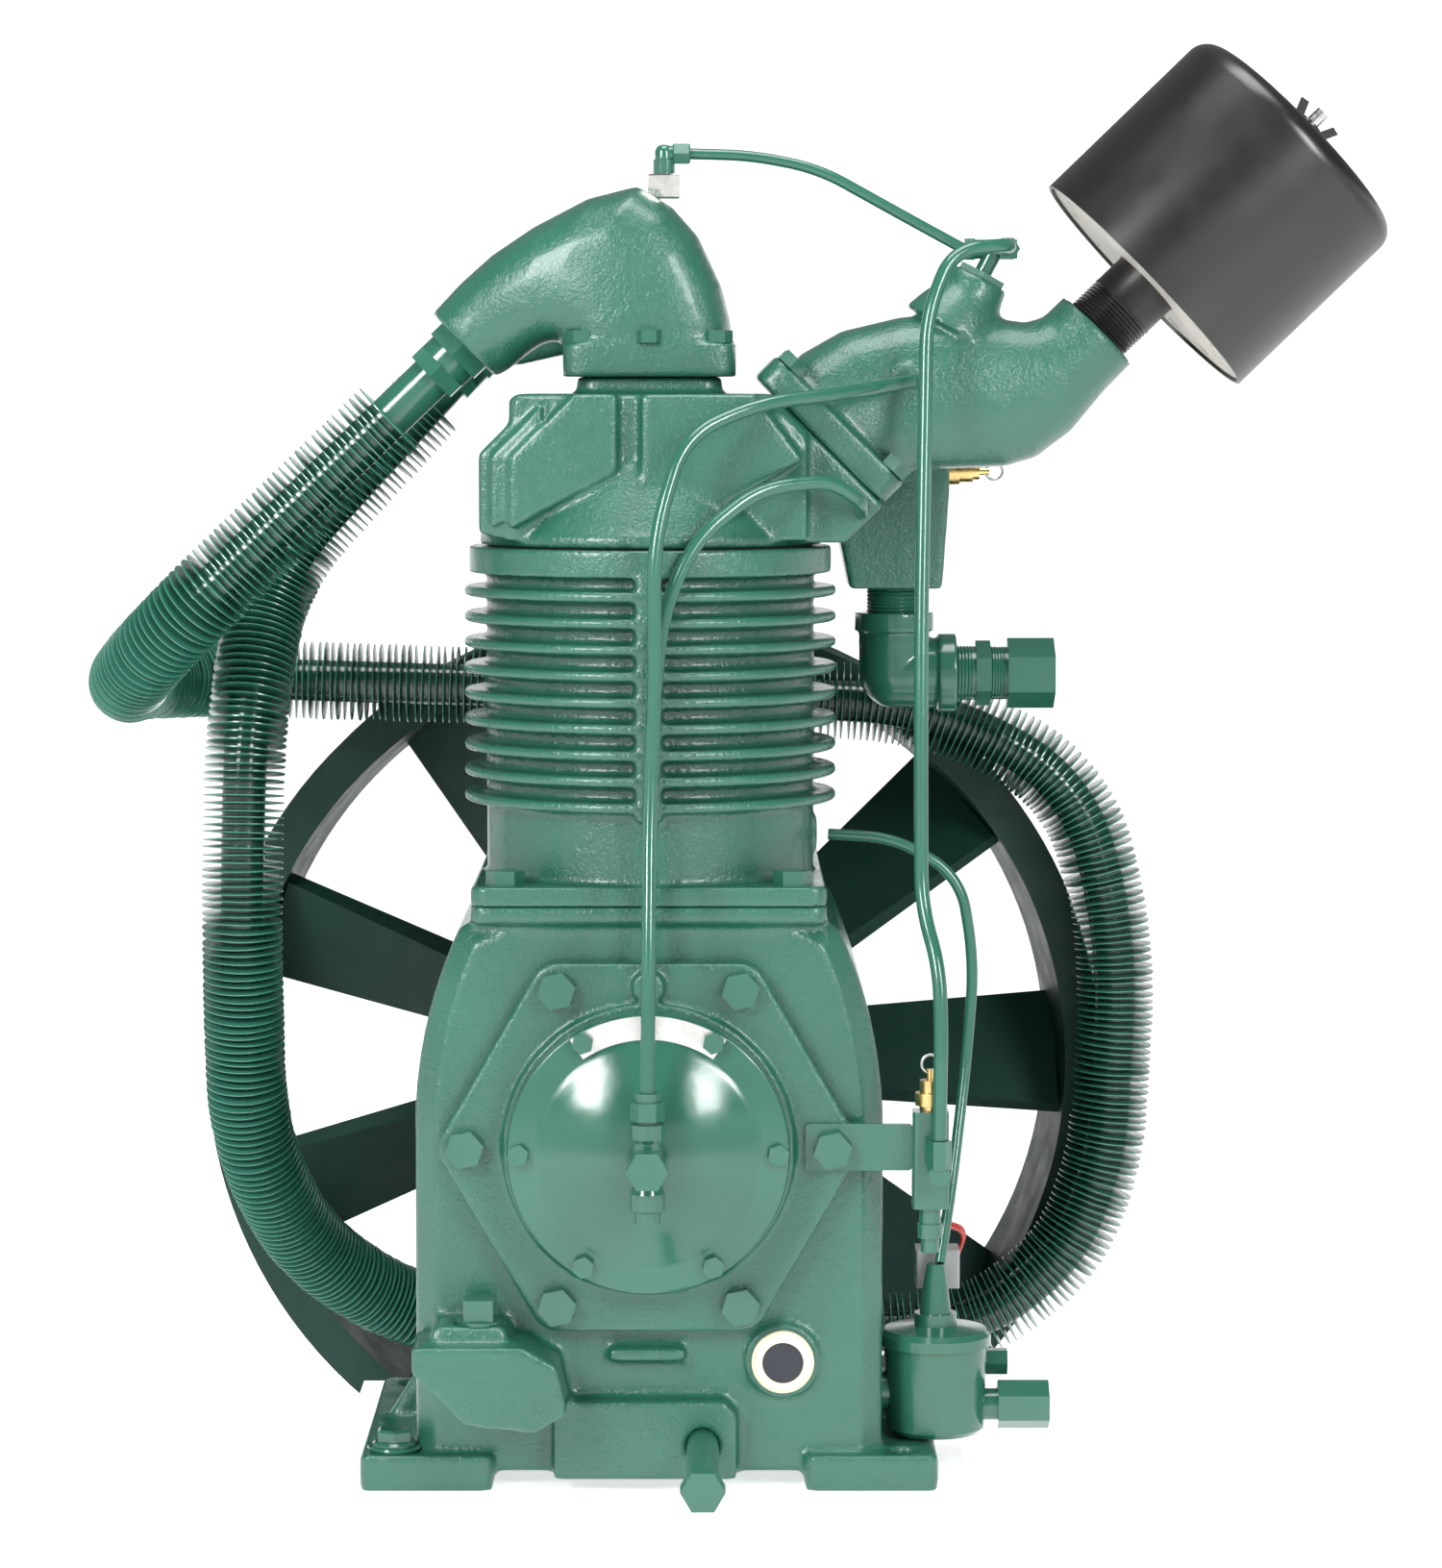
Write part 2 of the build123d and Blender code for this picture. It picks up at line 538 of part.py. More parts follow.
with BuildPart() as base_bolts:
    for x, y in DECK_BOLTS:
        hex_bolt(Plane((x, y, BASE_FLANGE_TOP)), 10.9, 8, 5, 28)
finish(base_bolts, "base_bolts")

with BuildPart() as head_gasket:
    two_bores(Plane.XY.offset(BLOCK_TOP), 93, SECOND_BARREL_R, GASKET)
    drill(Plane((0, FIRST_Y, BLOCK_TOP - 1)), FIRST_BORE_R, 3)
    drill(Plane((0, SECOND_Y, BLOCK_TOP - 1)), SECOND_BORE_R, 3)
finish(head_gasket, "head_gasket")

INTAKE_FACE = (95.5, FIRST_Y, 585.0)       # centre of the sloping intake port
PORT_NORMAL = slope(UPPER_PORT_TILT)
SECOND_SIDE = 88.0
NECK_TOP = 621.0
with BuildPart() as cylinder_head:
    two_bores(Plane.XY.offset(HEAD_BASE), BARREL_R + 4, SECOND_FIN_R, 6)
    with BuildSketch(Plane((0, FIRST_Y, HEAD_BASE + 6))):
        Circle(BARREL_R + 3)
    with BuildSketch(Plane((0, FIRST_Y, HEAD_BASE + 46))):
        Circle(72)
    loft()
    prism(facing_front(-72), [(-78, HEAD_BASE + 4), (-95, HEAD_BASE + 8), (-95, 578), (-78, 595),
                              (-78, 608), (-74, HEAD_TOP), (67, HEAD_TOP), (88, 590),
                              (88, HEAD_BASE + 4)], -224)
    chamfer(cylinder_head.edges().filter_by(lambda e: e.center().Y < -71.9 and e.center().Z > 594), 3)
    prism(facing_front(FIRST_Y - 52), [(20, 540), (20, HEAD_TOP), (69, HEAD_TOP), (131.5, 549), (110, 528),
                                    (60, 528)], -104)
    # the front face steps forward twice on the left and once on the right of a middle recess
    prism(facing_front(-77), [(-88, 537), (-60, 550), (-60, 605), (-88, 577)], -9)
    prism(facing_front(-81), [(-77, 536), (-17.5, 568.5), (-17.5, HEAD_TOP), (-42, HEAD_TOP),
                              (-77, 576)], -13)
    prism(facing_front(-81), [(-4, 559), (3, 559), (15, 556), (40, 548.5), (86, 575), (59, HEAD_TOP),
                              (-4, HEAD_TOP)], -13)
    for y in (FIRST_Y, SECOND_Y):
        half = 41 if y == FIRST_Y else 30
        with BuildSketch(Plane((0, y, HEAD_TOP))):
            RectangleRounded(2 * half, 2 * half, 12)
        extrude(amount=NECK_TOP - HEAD_TOP)
        drill(Plane((-15 if y == FIRST_Y else 0, y, NECK_TOP + 1)), 15, -60)
    drill(facing(along(INTAKE_FACE, PORT_NORMAL, 3), PORT_NORMAL), 24, -50)
    drill(Plane((0, FIRST_Y, HEAD_BASE - 1)), 60, 26)
    drill(Plane((0, SECOND_Y, HEAD_BASE - 1)), 32, 26)
    drill(facing((SECOND_SIDE, SECOND_Y, 572), (1, 0, 0)), 12, -60)
finish(cylinder_head, "cylinder_head")


def manifold(y, half, run_direction, end_centre, end_radius, top_z, wide):
    """An elbow casting on the head: square flange, arched body and a round leg."""
    flange_top = NECK_TOP + 19
    with BuildSketch(Plane((0, y, NECK_TOP))) as flange:
        RectangleRounded(2 * half, 2 * half, 10)
    extrude(flange.sketch, amount=19)
    with BuildSketch(facing_front(y - wide)) as body:
        with BuildLine():
            Line((half - 3, flange_top - 2), (half - 3, flange_top + 2))
            ThreePointArc((half - 3, flange_top + 2), (half * 0.62, (flange_top + top_z) / 2 + 6),
                          (-5, top_z))
            ThreePointArc((-5, top_z), (end_centre[0] * 0.62, top_z - 24),
                          (end_centre[0] - 10, end_centre[2] + 24))
            Polyline((end_centre[0] - 10, end_centre[2] + 24), (end_centre[0] + 24, end_centre[2] - 10),
                     (-half + 3, flange_top - 2), (half - 3, flange_top - 2))
        make_face()
    extrude(body.sketch, amount=-2 * wide)
    disc(facing(along(end_centre, run_direction, -44), run_direction), end_radius, 44)


COOLER_RUN = (-204.0, 0.0, -196.0)     # the way the tube leaves the discharge manifold
FIRST_LEG_END = (-106.0, FIRST_Y, 639.0)
SECOND_LEG_END = (-104.0, SECOND_Y, 638.0)
SECOND_LEG_RUN = (-122.0, -18.0, -133.0)

with BuildPart() as discharge_manifold:
    manifold(FIRST_Y, 52, COOLER_RUN, FIRST_LEG_END, 25.5, 730, 27)
    drill(facing(along(FIRST_LEG_END, COOLER_RUN, 1), COOLER_RUN), 13.0, -26)
    disc(Plane((8, FIRST_Y, 700)), 9, 22)
    drill(Plane((8, FIRST_Y, 722)), 11, 30)
finish(discharge_manifold, "discharge_manifold")

with BuildPart() as second_stage_inlet:
    manifold(SECOND_Y, 38, SECOND_LEG_RUN, SECOND_LEG_END, 22, 700, 20)
    drill(facing(along(SECOND_LEG_END, SECOND_LEG_RUN, 1), SECOND_LEG_RUN), 13.0, -26)
finish(second_stage_inlet, "second_stage_inlet")

STUDS = ((38, -38), (-38, -38), (38, 38), (-38, 38))
with BuildPart() as manifold_bolts:
    for dx, dy in STUDS:
        hexagon(Plane((dx, FIRST_Y + dy, NECK_TOP + 19)), 9, 7)
    hexagon(Plane((0, FIRST_Y - 46, NECK_TOP + 19)), 8, 7)
    for across in (-41, 41):
        for deep in (-43, 43):
            spot = along(INTAKE_FACE, slope(-45), across) + Vector(0, deep, 0)
            hexagon(facing(along(spot, PORT_NORMAL, 17), PORT_NORMAL), 9, 7)
finish(manifold_bolts, "manifold_bolts")

# ---------------------------------------------------------------- intake side
INLET_AXIS = slope(INLET_TILT)
INLET_END = (255.0, FIRST_Y, 647.5)
FILTER_BASE = along(INLET_END, INLET_AXIS, 36.5)
BOSS_TOP = (188.0, FIRST_Y, 677.0)         # seat of the unloader
with BuildPart() as intake_manifold:
    with BuildSketch(facing(INTAKE_FACE, PORT_NORMAL)) as intake_flange:
        RectangleRounded(104, 102, 8)
    extrude(amount=17)
    with BuildSketch(facing_front(FIRST_Y - 33)) as intake_body:
        with BuildLine():
            Polyline((78, 630), (109, 646.5), (143, 654), (157, 664), (173, 685), (203, 669), (199, 660),
                     (206, 653), (220, 653), (236, 666), (274, 629), (250, 601), (231, 582), (213, 572),
                     (180, 570), (152, 570), (141, 560), close=True)
        make_face()
    extrude(amount=-66)
    drill(facing(along(INLET_END, INLET_AXIS, 2), INLET_AXIS), 21.1, -22)
    drill(facing(along(INTAKE_FACE, PORT_NORMAL, -1), PORT_NORMAL), 24, 40)
finish(intake_manifold, "intake_manifold")

with BuildPart() as filter_nipple:
    turned(along(INLET_END, INLET_AXIS, -14), INLET_AXIS, [(0, 18), (0, 21), (62, 21), (62, 18)])
finish(filter_nipple, "filter_nipple")

with BuildPart() as filter_base:
    turned(FILTER_BASE, INLET_AXIS, [(2, 21.1), (2, 75.5), (12, 75.5), (12, 74), (4, 74), (4, 50),
                                     (12, 46), (12, 21.1)])
    for x, z in ring_points(60, 12):
        hole = facing(along(FILTER_BASE, INLET_AXIS, 1), INLET_AXIS)
        drill(Plane(origin=hole.from_local_coords((x, z, 0)), z_dir=INLET_AXIS), 4.5, 10)
finish(filter_base, "filter_base")

with BuildPart() as filter_housing:
    turned(FILTER_BASE, INLET_AXIS, [
        (0, 76), (0, FILTER_R), (FILTER_HEIGHT - 10, FILTER_R), (FILTER_HEIGHT - 4, FILTER_R - 3),
        (FILTER_HEIGHT, FILTER_R - 10), (FILTER_HEIGHT, 5), (FILTER_HEIGHT - 2, 5),
        (FILTER_HEIGHT - 2, FILTER_R - 11), (FILTER_HEIGHT - 6, FILTER_R - 5), (FILTER_HEIGHT - 12, 76)])
finish(filter_housing, "filter_housing")

with BuildPart() as filter_element:
    turned(FILTER_BASE, INLET_AXIS, [(13, 38), (13, 64), (108, 64), (108, 38)])
finish(filter_element, "filter_element")

with BuildPart() as filter_stud:
    turned(along(FILTER_BASE, INLET_AXIS, 12), INLET_AXIS, [
        (0, 0), (0, 20), (4, 20), (4, 4), (FILTER_HEIGHT + 6, 4), (FILTER_HEIGHT + 6, 0)])
finish(filter_stud, "filter_stud")

NUT_SEAT = along(FILTER_BASE, INLET_AXIS, FILTER_HEIGHT + 0.4)
with BuildPart() as wing_nut:
    turned(NUT_SEAT, INLET_AXIS, [(0, 4 + RUN), (0, 8.5), (9, 6.5), (9, 4 + RUN)])
    for wing in (-1, 1):
        with BuildSketch(Plane(origin=NUT_SEAT, x_dir=slope(INLET_TILT - 90), z_dir=(0, -1, 0))):
            with BuildLine():
                Polyline((wing * 6.5, 1), (wing * 12, 8), (wing * 15, 15), (wing * 10, 16), (wing * 5.8, 7),
                         close=True)
            make_face()
        extrude(amount=1.5, both=True)
finish(wing_nut, "wing_nut")

BOSS_AXIS = slope(degrees(atan2(30, 16)))
with BuildPart() as unloader_housing:
    hexagon(facing(BOSS_TOP, BOSS_AXIS), 15.5, 3.5)
finish(unloader_housing, "unloader_housing")

CROSS_Z = 693.5
with BuildPart() as cross_fitting:
    turned(along(BOSS_TOP, BOSS_AXIS, 3.5), BOSS_AXIS, [(0, 0), (0, 5), (12.5, 5), (12.5, 0)])
    disc(facing((185, FIRST_Y, CROSS_Z), (1, 0, 0)), 5.5, 24)
    hexagon(facing((179, FIRST_Y, CROSS_Z), (1, 0, 0)), 7, 6)
    disc(facing_front(FIRST_Y, 203, CROSS_Z), 4.5, 6)
    hexagon(facing_front(FIRST_Y - 5, 203, CROSS_Z), 7, 8)
finish(cross_fitting, "cross_fitting")

with BuildPart() as check_valve:
    hexagon(Plane((8, FIRST_Y, 722)), 10.4, 14)
    turned((8, FIRST_Y, 736), (0, 0, 1), [(0, 0), (0, 6.5), (9, 6.5), (17, 6.5), (17, 0)])
    hexagon(facing((13, FIRST_Y, 747.5), (1, 0, 0)), 6.6, 10)
finish(check_valve, "check_valve")

# ---------------------------------------------------------------- high-pressure outlet
OUTLET_X = 144.5
OUTLET_Z = 444.6
with BuildPart() as discharge_elbow_casting:
    prism(facing_front(SECOND_Y - 27), [(SECOND_SIDE, 548), (SECOND_SIDE, 600), (150, 600), (176, 575),
                                        (176, 552), (172, 496), (117, 496), (108, 540)], -54)
    drill(Plane((OUTLET_X, SECOND_Y, 495)), 16.7, 12)
    drill(facing((180, SECOND_Y, 565), (1, 0, 0)), 6.1, -16)
finish(discharge_elbow_casting, "discharge_elbow_casting")

with BuildPart() as discharge_nipple:
    disc(Plane((OUTLET_X, SECOND_Y, 466)), 16.7, 38)
    drill(Plane((OUTLET_X, SECOND_Y, 465)), 13, 42)
finish(discharge_nipple, "discharge_nipple")

with BuildPart() as discharge_elbow:
    turned((OUTLET_X, SECOND_Y, 462), (0, 0, 1), [(0, 0), (0, 21), (8, 21), (8, 23.5), (19, 23.5), (19, 0)])
    turned((OUTLET_X + 18, SECOND_Y, OUTLET_Z), (1, 0, 0), [(0, 0), (0, 21), (8, 21), (8, 23.5), (19, 23.5),
                                                        (19, 0)])
    disc(Plane((OUTLET_X, SECOND_Y, OUTLET_Z)), 20.8, 20)
    disc(facing((OUTLET_X, SECOND_Y, OUTLET_Z), (1, 0, 0)), 20.8, 20)
    with Locations((OUTLET_X, SECOND_Y, OUTLET_Z)):
        Sphere(20.8)
    drill(Plane((OUTLET_X, SECOND_Y, 482)), 16.7, -16)
    drill(facing((OUTLET_X + 38, SECOND_Y, OUTLET_Z), (1, 0, 0)), 16, -14)
finish(discharge_elbow, "discharge_elbow")

with BuildPart() as outlet_connector:
    disc(facing((OUTLET_X + 24, SECOND_Y, OUTLET_Z), (1, 0, 0)), 16, 25)
    hexagon(facing((193, SECOND_Y, OUTLET_Z), (1, 0, 0)), 19.5, 9, 30)
    disc(facing((202, SECOND_Y, OUTLET_Z), (1, 0, 0)), 15.6, 20)
    drill(facing((150, SECOND_Y, OUTLET_Z), (1, 0, 0)), 11, 80)
finish(outlet_connector, "outlet_connector")

OUTLET_END = 240.0
OUTLET_BORE_R = 12.8
with BuildPart() as outlet_nut:
    hexagon(facing((212, SECOND_Y, OUTLET_Z), (1, 0, 0)), 21, OUTLET_END - 212, 30)
    drill(facing((211, SECOND_Y, OUTLET_Z), (1, 0, 0)), 15.6, 11)
    drill(facing((211, SECOND_Y, OUTLET_Z), (1, 0, 0)), OUTLET_BORE_R, 40)
finish(outlet_nut, "outlet_nut")

RING_WIRE_R = 0.8
RING_R = 5.0
RING_HOLE_R = 1.45
STAGE_HOLE = (199.0, SECOND_Y, 565.0)       # the pull ring hangs in this cross hole


def pull_ring(centre):
    """A wire ring standing in the XZ plane."""
    section_plane = Plane(origin=centre, x_dir=(1, 0, 0), z_dir=(0, 0, 1))
    with BuildSketch(section_plane) as wire_section:
        with Locations((RING_R, 0)):
            Circle(RING_WIRE_R)
    revolve(wire_section.sketch, axis=Axis(centre, (0, 1, 0)))


with BuildPart() as stage_relief_valve:
    turned((165, SECOND_Y, 565), (1, 0, 0), [(0, 0), (0, 6), (11, 6), (11, 8), (18, 8), (18, 6.5), (26, 6.5),
                                         (26, 5), (30, 5), (30, 2.2), (36, 2.2), (36, 0)])
    drill(Plane((STAGE_HOLE[0], SECOND_Y, 560)), RING_HOLE_R, 10)
finish(stage_relief_valve, "stage_relief_valve")

with BuildPart() as stage_relief_ring:
    pull_ring((STAGE_HOLE[0] + RING_R, SECOND_Y, STAGE_HOLE[2]))
finish(stage_relief_ring, "stage_relief_ring")

# ---------------------------------------------------------------- intercooler
COOLER_ROUTE = [
    FIRST_LEG_END, (-310, FIRST_Y, 443), (-306, COOLER_Y, 438), (-100, COOLER_Y, 432),
    (170, COOLER_Y, 420), (262, COOLER_Y, 372), (287, COOLER_Y, 270), (280, COOLER_Y, 140),
    (258, COOLER_Y, 80), (205, COOLER_Y, 36), (100, COOLER_Y, 27), (-150, COOLER_Y, 40),
    (-212, 140, 92), (-240, 72, 170), (-240, 43, 300), (-238, 55, 420), (-226, 95, 505),
    SECOND_LEG_END]
FIN_START = along(COOLER_ROUTE[0], COOLER_RUN, 62)
FIN_END = along(COOLER_ROUTE[-1], SECOND_LEG_RUN, 40)

with BuildPart() as intercooler_tube:
    run_tube(COOLER_ROUTE, TUBE_R, TUBE_BORE_R)
finish(intercooler_tube, "intercooler_tube")

with BuildPart() as intercooler_fins:
    run_tube([tuple(FIN_START)] + COOLER_ROUTE[1:-1] + [tuple(FIN_END)], FIN_TUBE_R, TUBE_R)
finish(intercooler_fins, "intercooler_fins")

with BuildPart() as intercooler_fittings:
    for end, run in ((FIRST_LEG_END, COOLER_RUN), (SECOND_LEG_END, SECOND_LEG_RUN)):
        hexagon(facing(end, run), 20, 9)
        disc(facing(along(end, run, 9), run), 16, 8)
        hexagon(facing(along(end, run, 17), run), 18, 9)
        drill(facing(along(end, run, -1), run), TUBE_R, 30)
finish(intercooler_fittings, "intercooler_fittings")

# ---------------------------------------------------------------- small lines
UPPER_LINE = [(23, FIRST_Y, 747.5), (58, FIRST_Y, 746.5), (96, FIRST_Y, 739), (143, FIRST_Y, 713),
              (177.6, FIRST_Y, 694.2)]
UNLOADER_LINE = [(203, -16.1, CROSS_Z), (203, -36, 695), (170, -50, 692), (155, -60, 655), (153.5, -70, 580),
                 (151, -88, 470), (151, -104, 330), (160, -124, 296), (161, -129, 262), (160, -130, 202.2)]
BREATHER_LINE = [(0, VENT_TEE_Y, 233), (0.5, -157, 300), (1, -134, 385), (4, -128.5, 450),
                 (3, -126, 532), (20, -110, 588), (60, -92, 606), (110, -66, 612), (148, -38.2, 618.6)]
VENT_LINE = [(0, -116, 294), (1, -115.8, 420), (8, -116.5, 492), (26, -108, 532), (62, -92, 560),
             (100, -76, 563), (118, -70, 552), (119, -55.5, 545)]
SWITCH_LINE = [(102, FIRST_Y, 359), (140, -4, 357), (178, -6, 335), (186, -9, 285), (181, -14, 225),
               (172, -36, 160), (165, -47, 118.6)]

with BuildPart() as upper_line:
    run_tube(UPPER_LINE, SMALL_LINE_R)
finish(upper_line, "upper_line")
with BuildPart() as unloader_line:
    run_tube(UNLOADER_LINE, LINE_R)
finish(unloader_line, "unloader_line")
with BuildPart() as breather_line:
    run_tube(BREATHER_LINE, LINE_R)
finish(breather_line, "breather_line")
with BuildPart() as vent_line:
    run_tube(VENT_LINE, LINE_R)
finish(vent_line, "vent_line")
with BuildPart() as switch_line:
    run_tube(SWITCH_LINE, SMALL_LINE_R)
finish(switch_line, "switch_line")

# ---------------------------------------------------------------- bracket, pilot valve and oil switch
PILOT_X, PILOT_Y = 156.0, -112.0
PILOT_HOLE_Z = 237.0
with BuildPart() as valve_bracket:
    with BuildSketch(facing_front(CARRIER_FRONT)):
        with Locations((116.5, 195)):
            RectangleRounded(59, 26, 2)
    extrude(amount=BRACKET_THICK)
    drill(facing_front(CARRIER_FRONT - 5, CARRIER_PCD_R, CRANK_Z), 5.1, -10)
finish(valve_bracket, "valve_bracket")

with BuildPart() as pilot_valve:
    with BuildSketch(Plane((PILOT_X, PILOT_Y, 162))):
        RectangleRounded(20, 18, 3)
    extrude(amount=54)
    disc(facing_front(PILOT_Y - 9, 160, 183), 6, 14)
    hexagon(Plane((160, -130, 186)), 7, 16)
    turned((PILOT_X, PILOT_Y, 137), (0, 0, 1), [(0, 0), (0, 5), (8, 5), (8, 7), (16, 7), (16, 6), (25, 6),
                                                (25, 0)])
finish(pilot_valve, "pilot_valve")

with BuildPart() as pilot_relief_valve:
    turned((PILOT_X, PILOT_Y, 216), (0, 0, 1), [(0, 0), (0, 6), (3, 6), (3, 8.5), (10, 8.5), (10, 6),
                                                (17, 6), (17, 2.2), (23, 2.2), (23, 0)])
    drill(facing((PILOT_X - 5, PILOT_Y, PILOT_HOLE_Z), (1, 0, 0)), RING_HOLE_R, 10)
finish(pilot_relief_valve, "pilot_relief_valve")

with BuildPart() as pilot_relief_ring:
    pull_ring((PILOT_X, PILOT_Y, PILOT_HOLE_Z + RING_R))
finish(pilot_relief_ring, "pilot_relief_ring")

SWITCH_X, SWITCH_Y = 162.5, -47.0
with BuildPart() as oil_switch:
    turned((SWITCH_X, SWITCH_Y, 22), (0, 0, 1), [(0, 0), (0, 25), (3, 28), (50, 29.5), (50, 0)])
    disc(facing((CASE_HALF, SWITCH_Y, 45), (1, 0, 0)), 11, 8)
    disc(facing((188, SWITCH_Y, 37), (1, 0, 0)), 9, 10)
    hexagon(facing((198, SWITCH_Y, 37), (1, 0, 0)), 14, 29, 30)
    hexagon(facing((SWITCH_X + 20, SWITCH_Y + 18, 58), (1, 0, 0)), 8, 22)
finish(oil_switch, "oil_switch")

with BuildPart() as oil_switch_cover:
    turned((SWITCH_X, SWITCH_Y, 72), (0, 0, 1), [(0, 0), (0, 31.5), (6, 31.5), (9, 29), (11, 12), (18, 12),
                                                 (18, 9), (34, 7), (46, 5), (46, 0)])
finish(oil_switch_cover, "oil_switch_cover")

with BuildPart() as oil_switch_box:
    with BuildSketch(Plane((SWITCH_X + 2, SWITCH_Y + 24, 101))):
        RectangleRounded(25, 22, 1.5)
    extrude(amount=22)
finish(oil_switch_box, "oil_switch_box")

with BuildPart() as switch_leads:
    for beside in (Vector(0, 0, 0), Vector(1, 4, 1)):
        lead_route = [(168, -17, 123.2), (170, -14, 134), (182, -3, 128), (172, 7, 96), (150, 5, 70),
                      (CASE_HALF + 0.3, 3, 60)]
        run_tube([tuple(Vector(*point) + beside) for point in lead_route], 1.2)
finish(switch_leads, "switch_leads")
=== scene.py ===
"""Two-stage air compressor pump: cast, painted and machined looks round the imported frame.

Shapes are written in millimetres, and MM turns them into the frame's metres.  The camera, the lights
and the stage are in metres.
"""

import json
import random
from math import cos, pi, radians, sin, tan

import bmesh
import bpy
from mathutils import Euler, Matrix, Vector


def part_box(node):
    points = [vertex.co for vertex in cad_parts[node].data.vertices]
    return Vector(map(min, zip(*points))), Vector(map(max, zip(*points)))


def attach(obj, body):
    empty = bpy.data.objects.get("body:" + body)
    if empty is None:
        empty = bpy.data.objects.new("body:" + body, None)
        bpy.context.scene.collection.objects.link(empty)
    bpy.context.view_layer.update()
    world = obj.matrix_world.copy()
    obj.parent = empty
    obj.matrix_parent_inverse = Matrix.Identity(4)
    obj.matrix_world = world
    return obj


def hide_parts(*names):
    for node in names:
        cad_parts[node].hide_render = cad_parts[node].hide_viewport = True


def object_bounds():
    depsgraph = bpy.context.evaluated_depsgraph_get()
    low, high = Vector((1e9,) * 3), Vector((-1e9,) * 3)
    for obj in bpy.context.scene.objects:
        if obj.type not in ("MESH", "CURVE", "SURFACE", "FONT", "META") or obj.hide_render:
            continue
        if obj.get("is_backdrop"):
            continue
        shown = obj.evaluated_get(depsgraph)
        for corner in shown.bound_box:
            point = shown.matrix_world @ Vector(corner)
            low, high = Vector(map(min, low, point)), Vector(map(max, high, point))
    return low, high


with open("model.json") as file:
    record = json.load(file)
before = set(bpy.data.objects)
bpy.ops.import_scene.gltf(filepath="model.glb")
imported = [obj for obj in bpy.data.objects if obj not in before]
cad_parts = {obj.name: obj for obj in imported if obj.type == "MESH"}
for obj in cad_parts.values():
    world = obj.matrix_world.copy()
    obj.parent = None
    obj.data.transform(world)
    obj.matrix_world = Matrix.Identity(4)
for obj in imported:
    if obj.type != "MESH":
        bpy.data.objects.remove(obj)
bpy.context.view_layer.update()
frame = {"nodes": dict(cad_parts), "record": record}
NODES = frame["nodes"]
SLOT = {part["node"]: part["material_slot"] for part in frame["record"]["subparts"]}
BODY = {node: body for body, nodes in frame["record"]["behaviour"]["bodies"].items() for node in nodes}

MM = 0.001
X_AXIS, UP = Vector((1, 0, 0)), Vector((0, 0, 1))
TOWARDS_FRONT = Vector((0, -1, 0))
FIRST_Y, SECOND_Y = -3.0, 113.0     # planes of the first-stage and second-stage cylinders


# ---------------------------------------------------------------- materials
def shader(name):
    """A new principled material: the material, its node tree, its principled node, its texture coordinates."""
    material = bpy.data.materials.new(name)
    material.use_nodes = True
    tree = material.node_tree
    surface = tree.nodes["Principled BSDF"]
    place = tree.nodes.new("ShaderNodeTexCoord")
    return material, tree, surface, place.outputs["Object"]


def noise(tree, place, scale, detail=3.0, roughness=0.5):
    node = tree.nodes.new("ShaderNodeTexNoise")
    node.inputs["Scale"].default_value = scale
    node.inputs["Detail"].default_value = detail
    node.inputs["Roughness"].default_value = roughness
    tree.links.new(place, node.inputs["Vector"])
    return node.outputs["Fac"]


def span(tree, value, low, high):
    """Stretch a noise value from its usual spread to low..high."""
    node = tree.nodes.new("ShaderNodeMapRange")
    node.inputs["From Min"].default_value = 0.3
    node.inputs["From Max"].default_value = 0.7
    node.inputs["To Min"].default_value = low
    node.inputs["To Max"].default_value = high
    tree.links.new(value, node.inputs["Value"])
    return node.outputs["Result"]


def two_tone(tree, value, first, second):
    node = tree.nodes.new("ShaderNodeMix")
    node.data_type = "RGBA"
    node.inputs[6].default_value = (*first, 1.0)
    node.inputs[7].default_value = (*second, 1.0)
    tree.links.new(value, node.inputs[0])
    return node.outputs[2]


def bump(tree, height, strength, distance, below=None):
    node = tree.nodes.new("ShaderNodeBump")
    node.inputs["Strength"].default_value = strength
    node.inputs["Distance"].default_value = distance
    tree.links.new(height, node.inputs["Height"])
    if below is not None:
        tree.links.new(below, node.inputs["Normal"])
    return node.outputs["Normal"]


def enamel(name, colour, grain=900.0, grain_depth=0.00025, ripple_depth=0.0004,
           rough=(0.16, 0.34), coat=0.25, specular=0.5):
    """Glossy paint over a casting: fine sand grain, slow orange peel and a slightly uneven colour."""
    material, tree, surface, place = shader(name)
    darker = tuple(c * 0.82 for c in colour)
    tone = span(tree, noise(tree, place, 14.0, 5.0), 0.0, 1.0)
    tree.links.new(two_tone(tree, tone, darker, colour), surface.inputs["Base Color"])
    tree.links.new(span(tree, noise(tree, place, 45.0, 4.0), *rough), surface.inputs["Roughness"])
    ripple = bump(tree, noise(tree, place, 150.0, 2.0), 0.35, ripple_depth)
    grained = bump(tree, noise(tree, place, grain, 3.0, 0.6), 0.5, grain_depth, ripple)
    tree.links.new(grained, surface.inputs["Normal"])
    surface.inputs["Coat Weight"].default_value = coat
    surface.inputs["Specular IOR Level"].default_value = specular
    surface.inputs["Coat Roughness"].default_value = 0.12
    return material


def metal(name, colour, rough=(0.22, 0.4)):
    """Bare or plated metal with fine tool marks and a little staining."""
    material, tree, surface, place = shader(name)
    dull = tuple(c * 0.7 for c in colour)
    tone = span(tree, noise(tree, place, 60.0, 5.0), 0.0, 1.0)
    tree.links.new(two_tone(tree, tone, dull, colour), surface.inputs["Base Color"])
    tree.links.new(span(tree, noise(tree, place, 220.0, 4.0), *rough), surface.inputs["Roughness"])
    tree.links.new(bump(tree, noise(tree, place, 1200.0, 2.0), 0.4, 0.00006), surface.inputs["Normal"])
    surface.inputs["Metallic"].default_value = 1.0
    return material


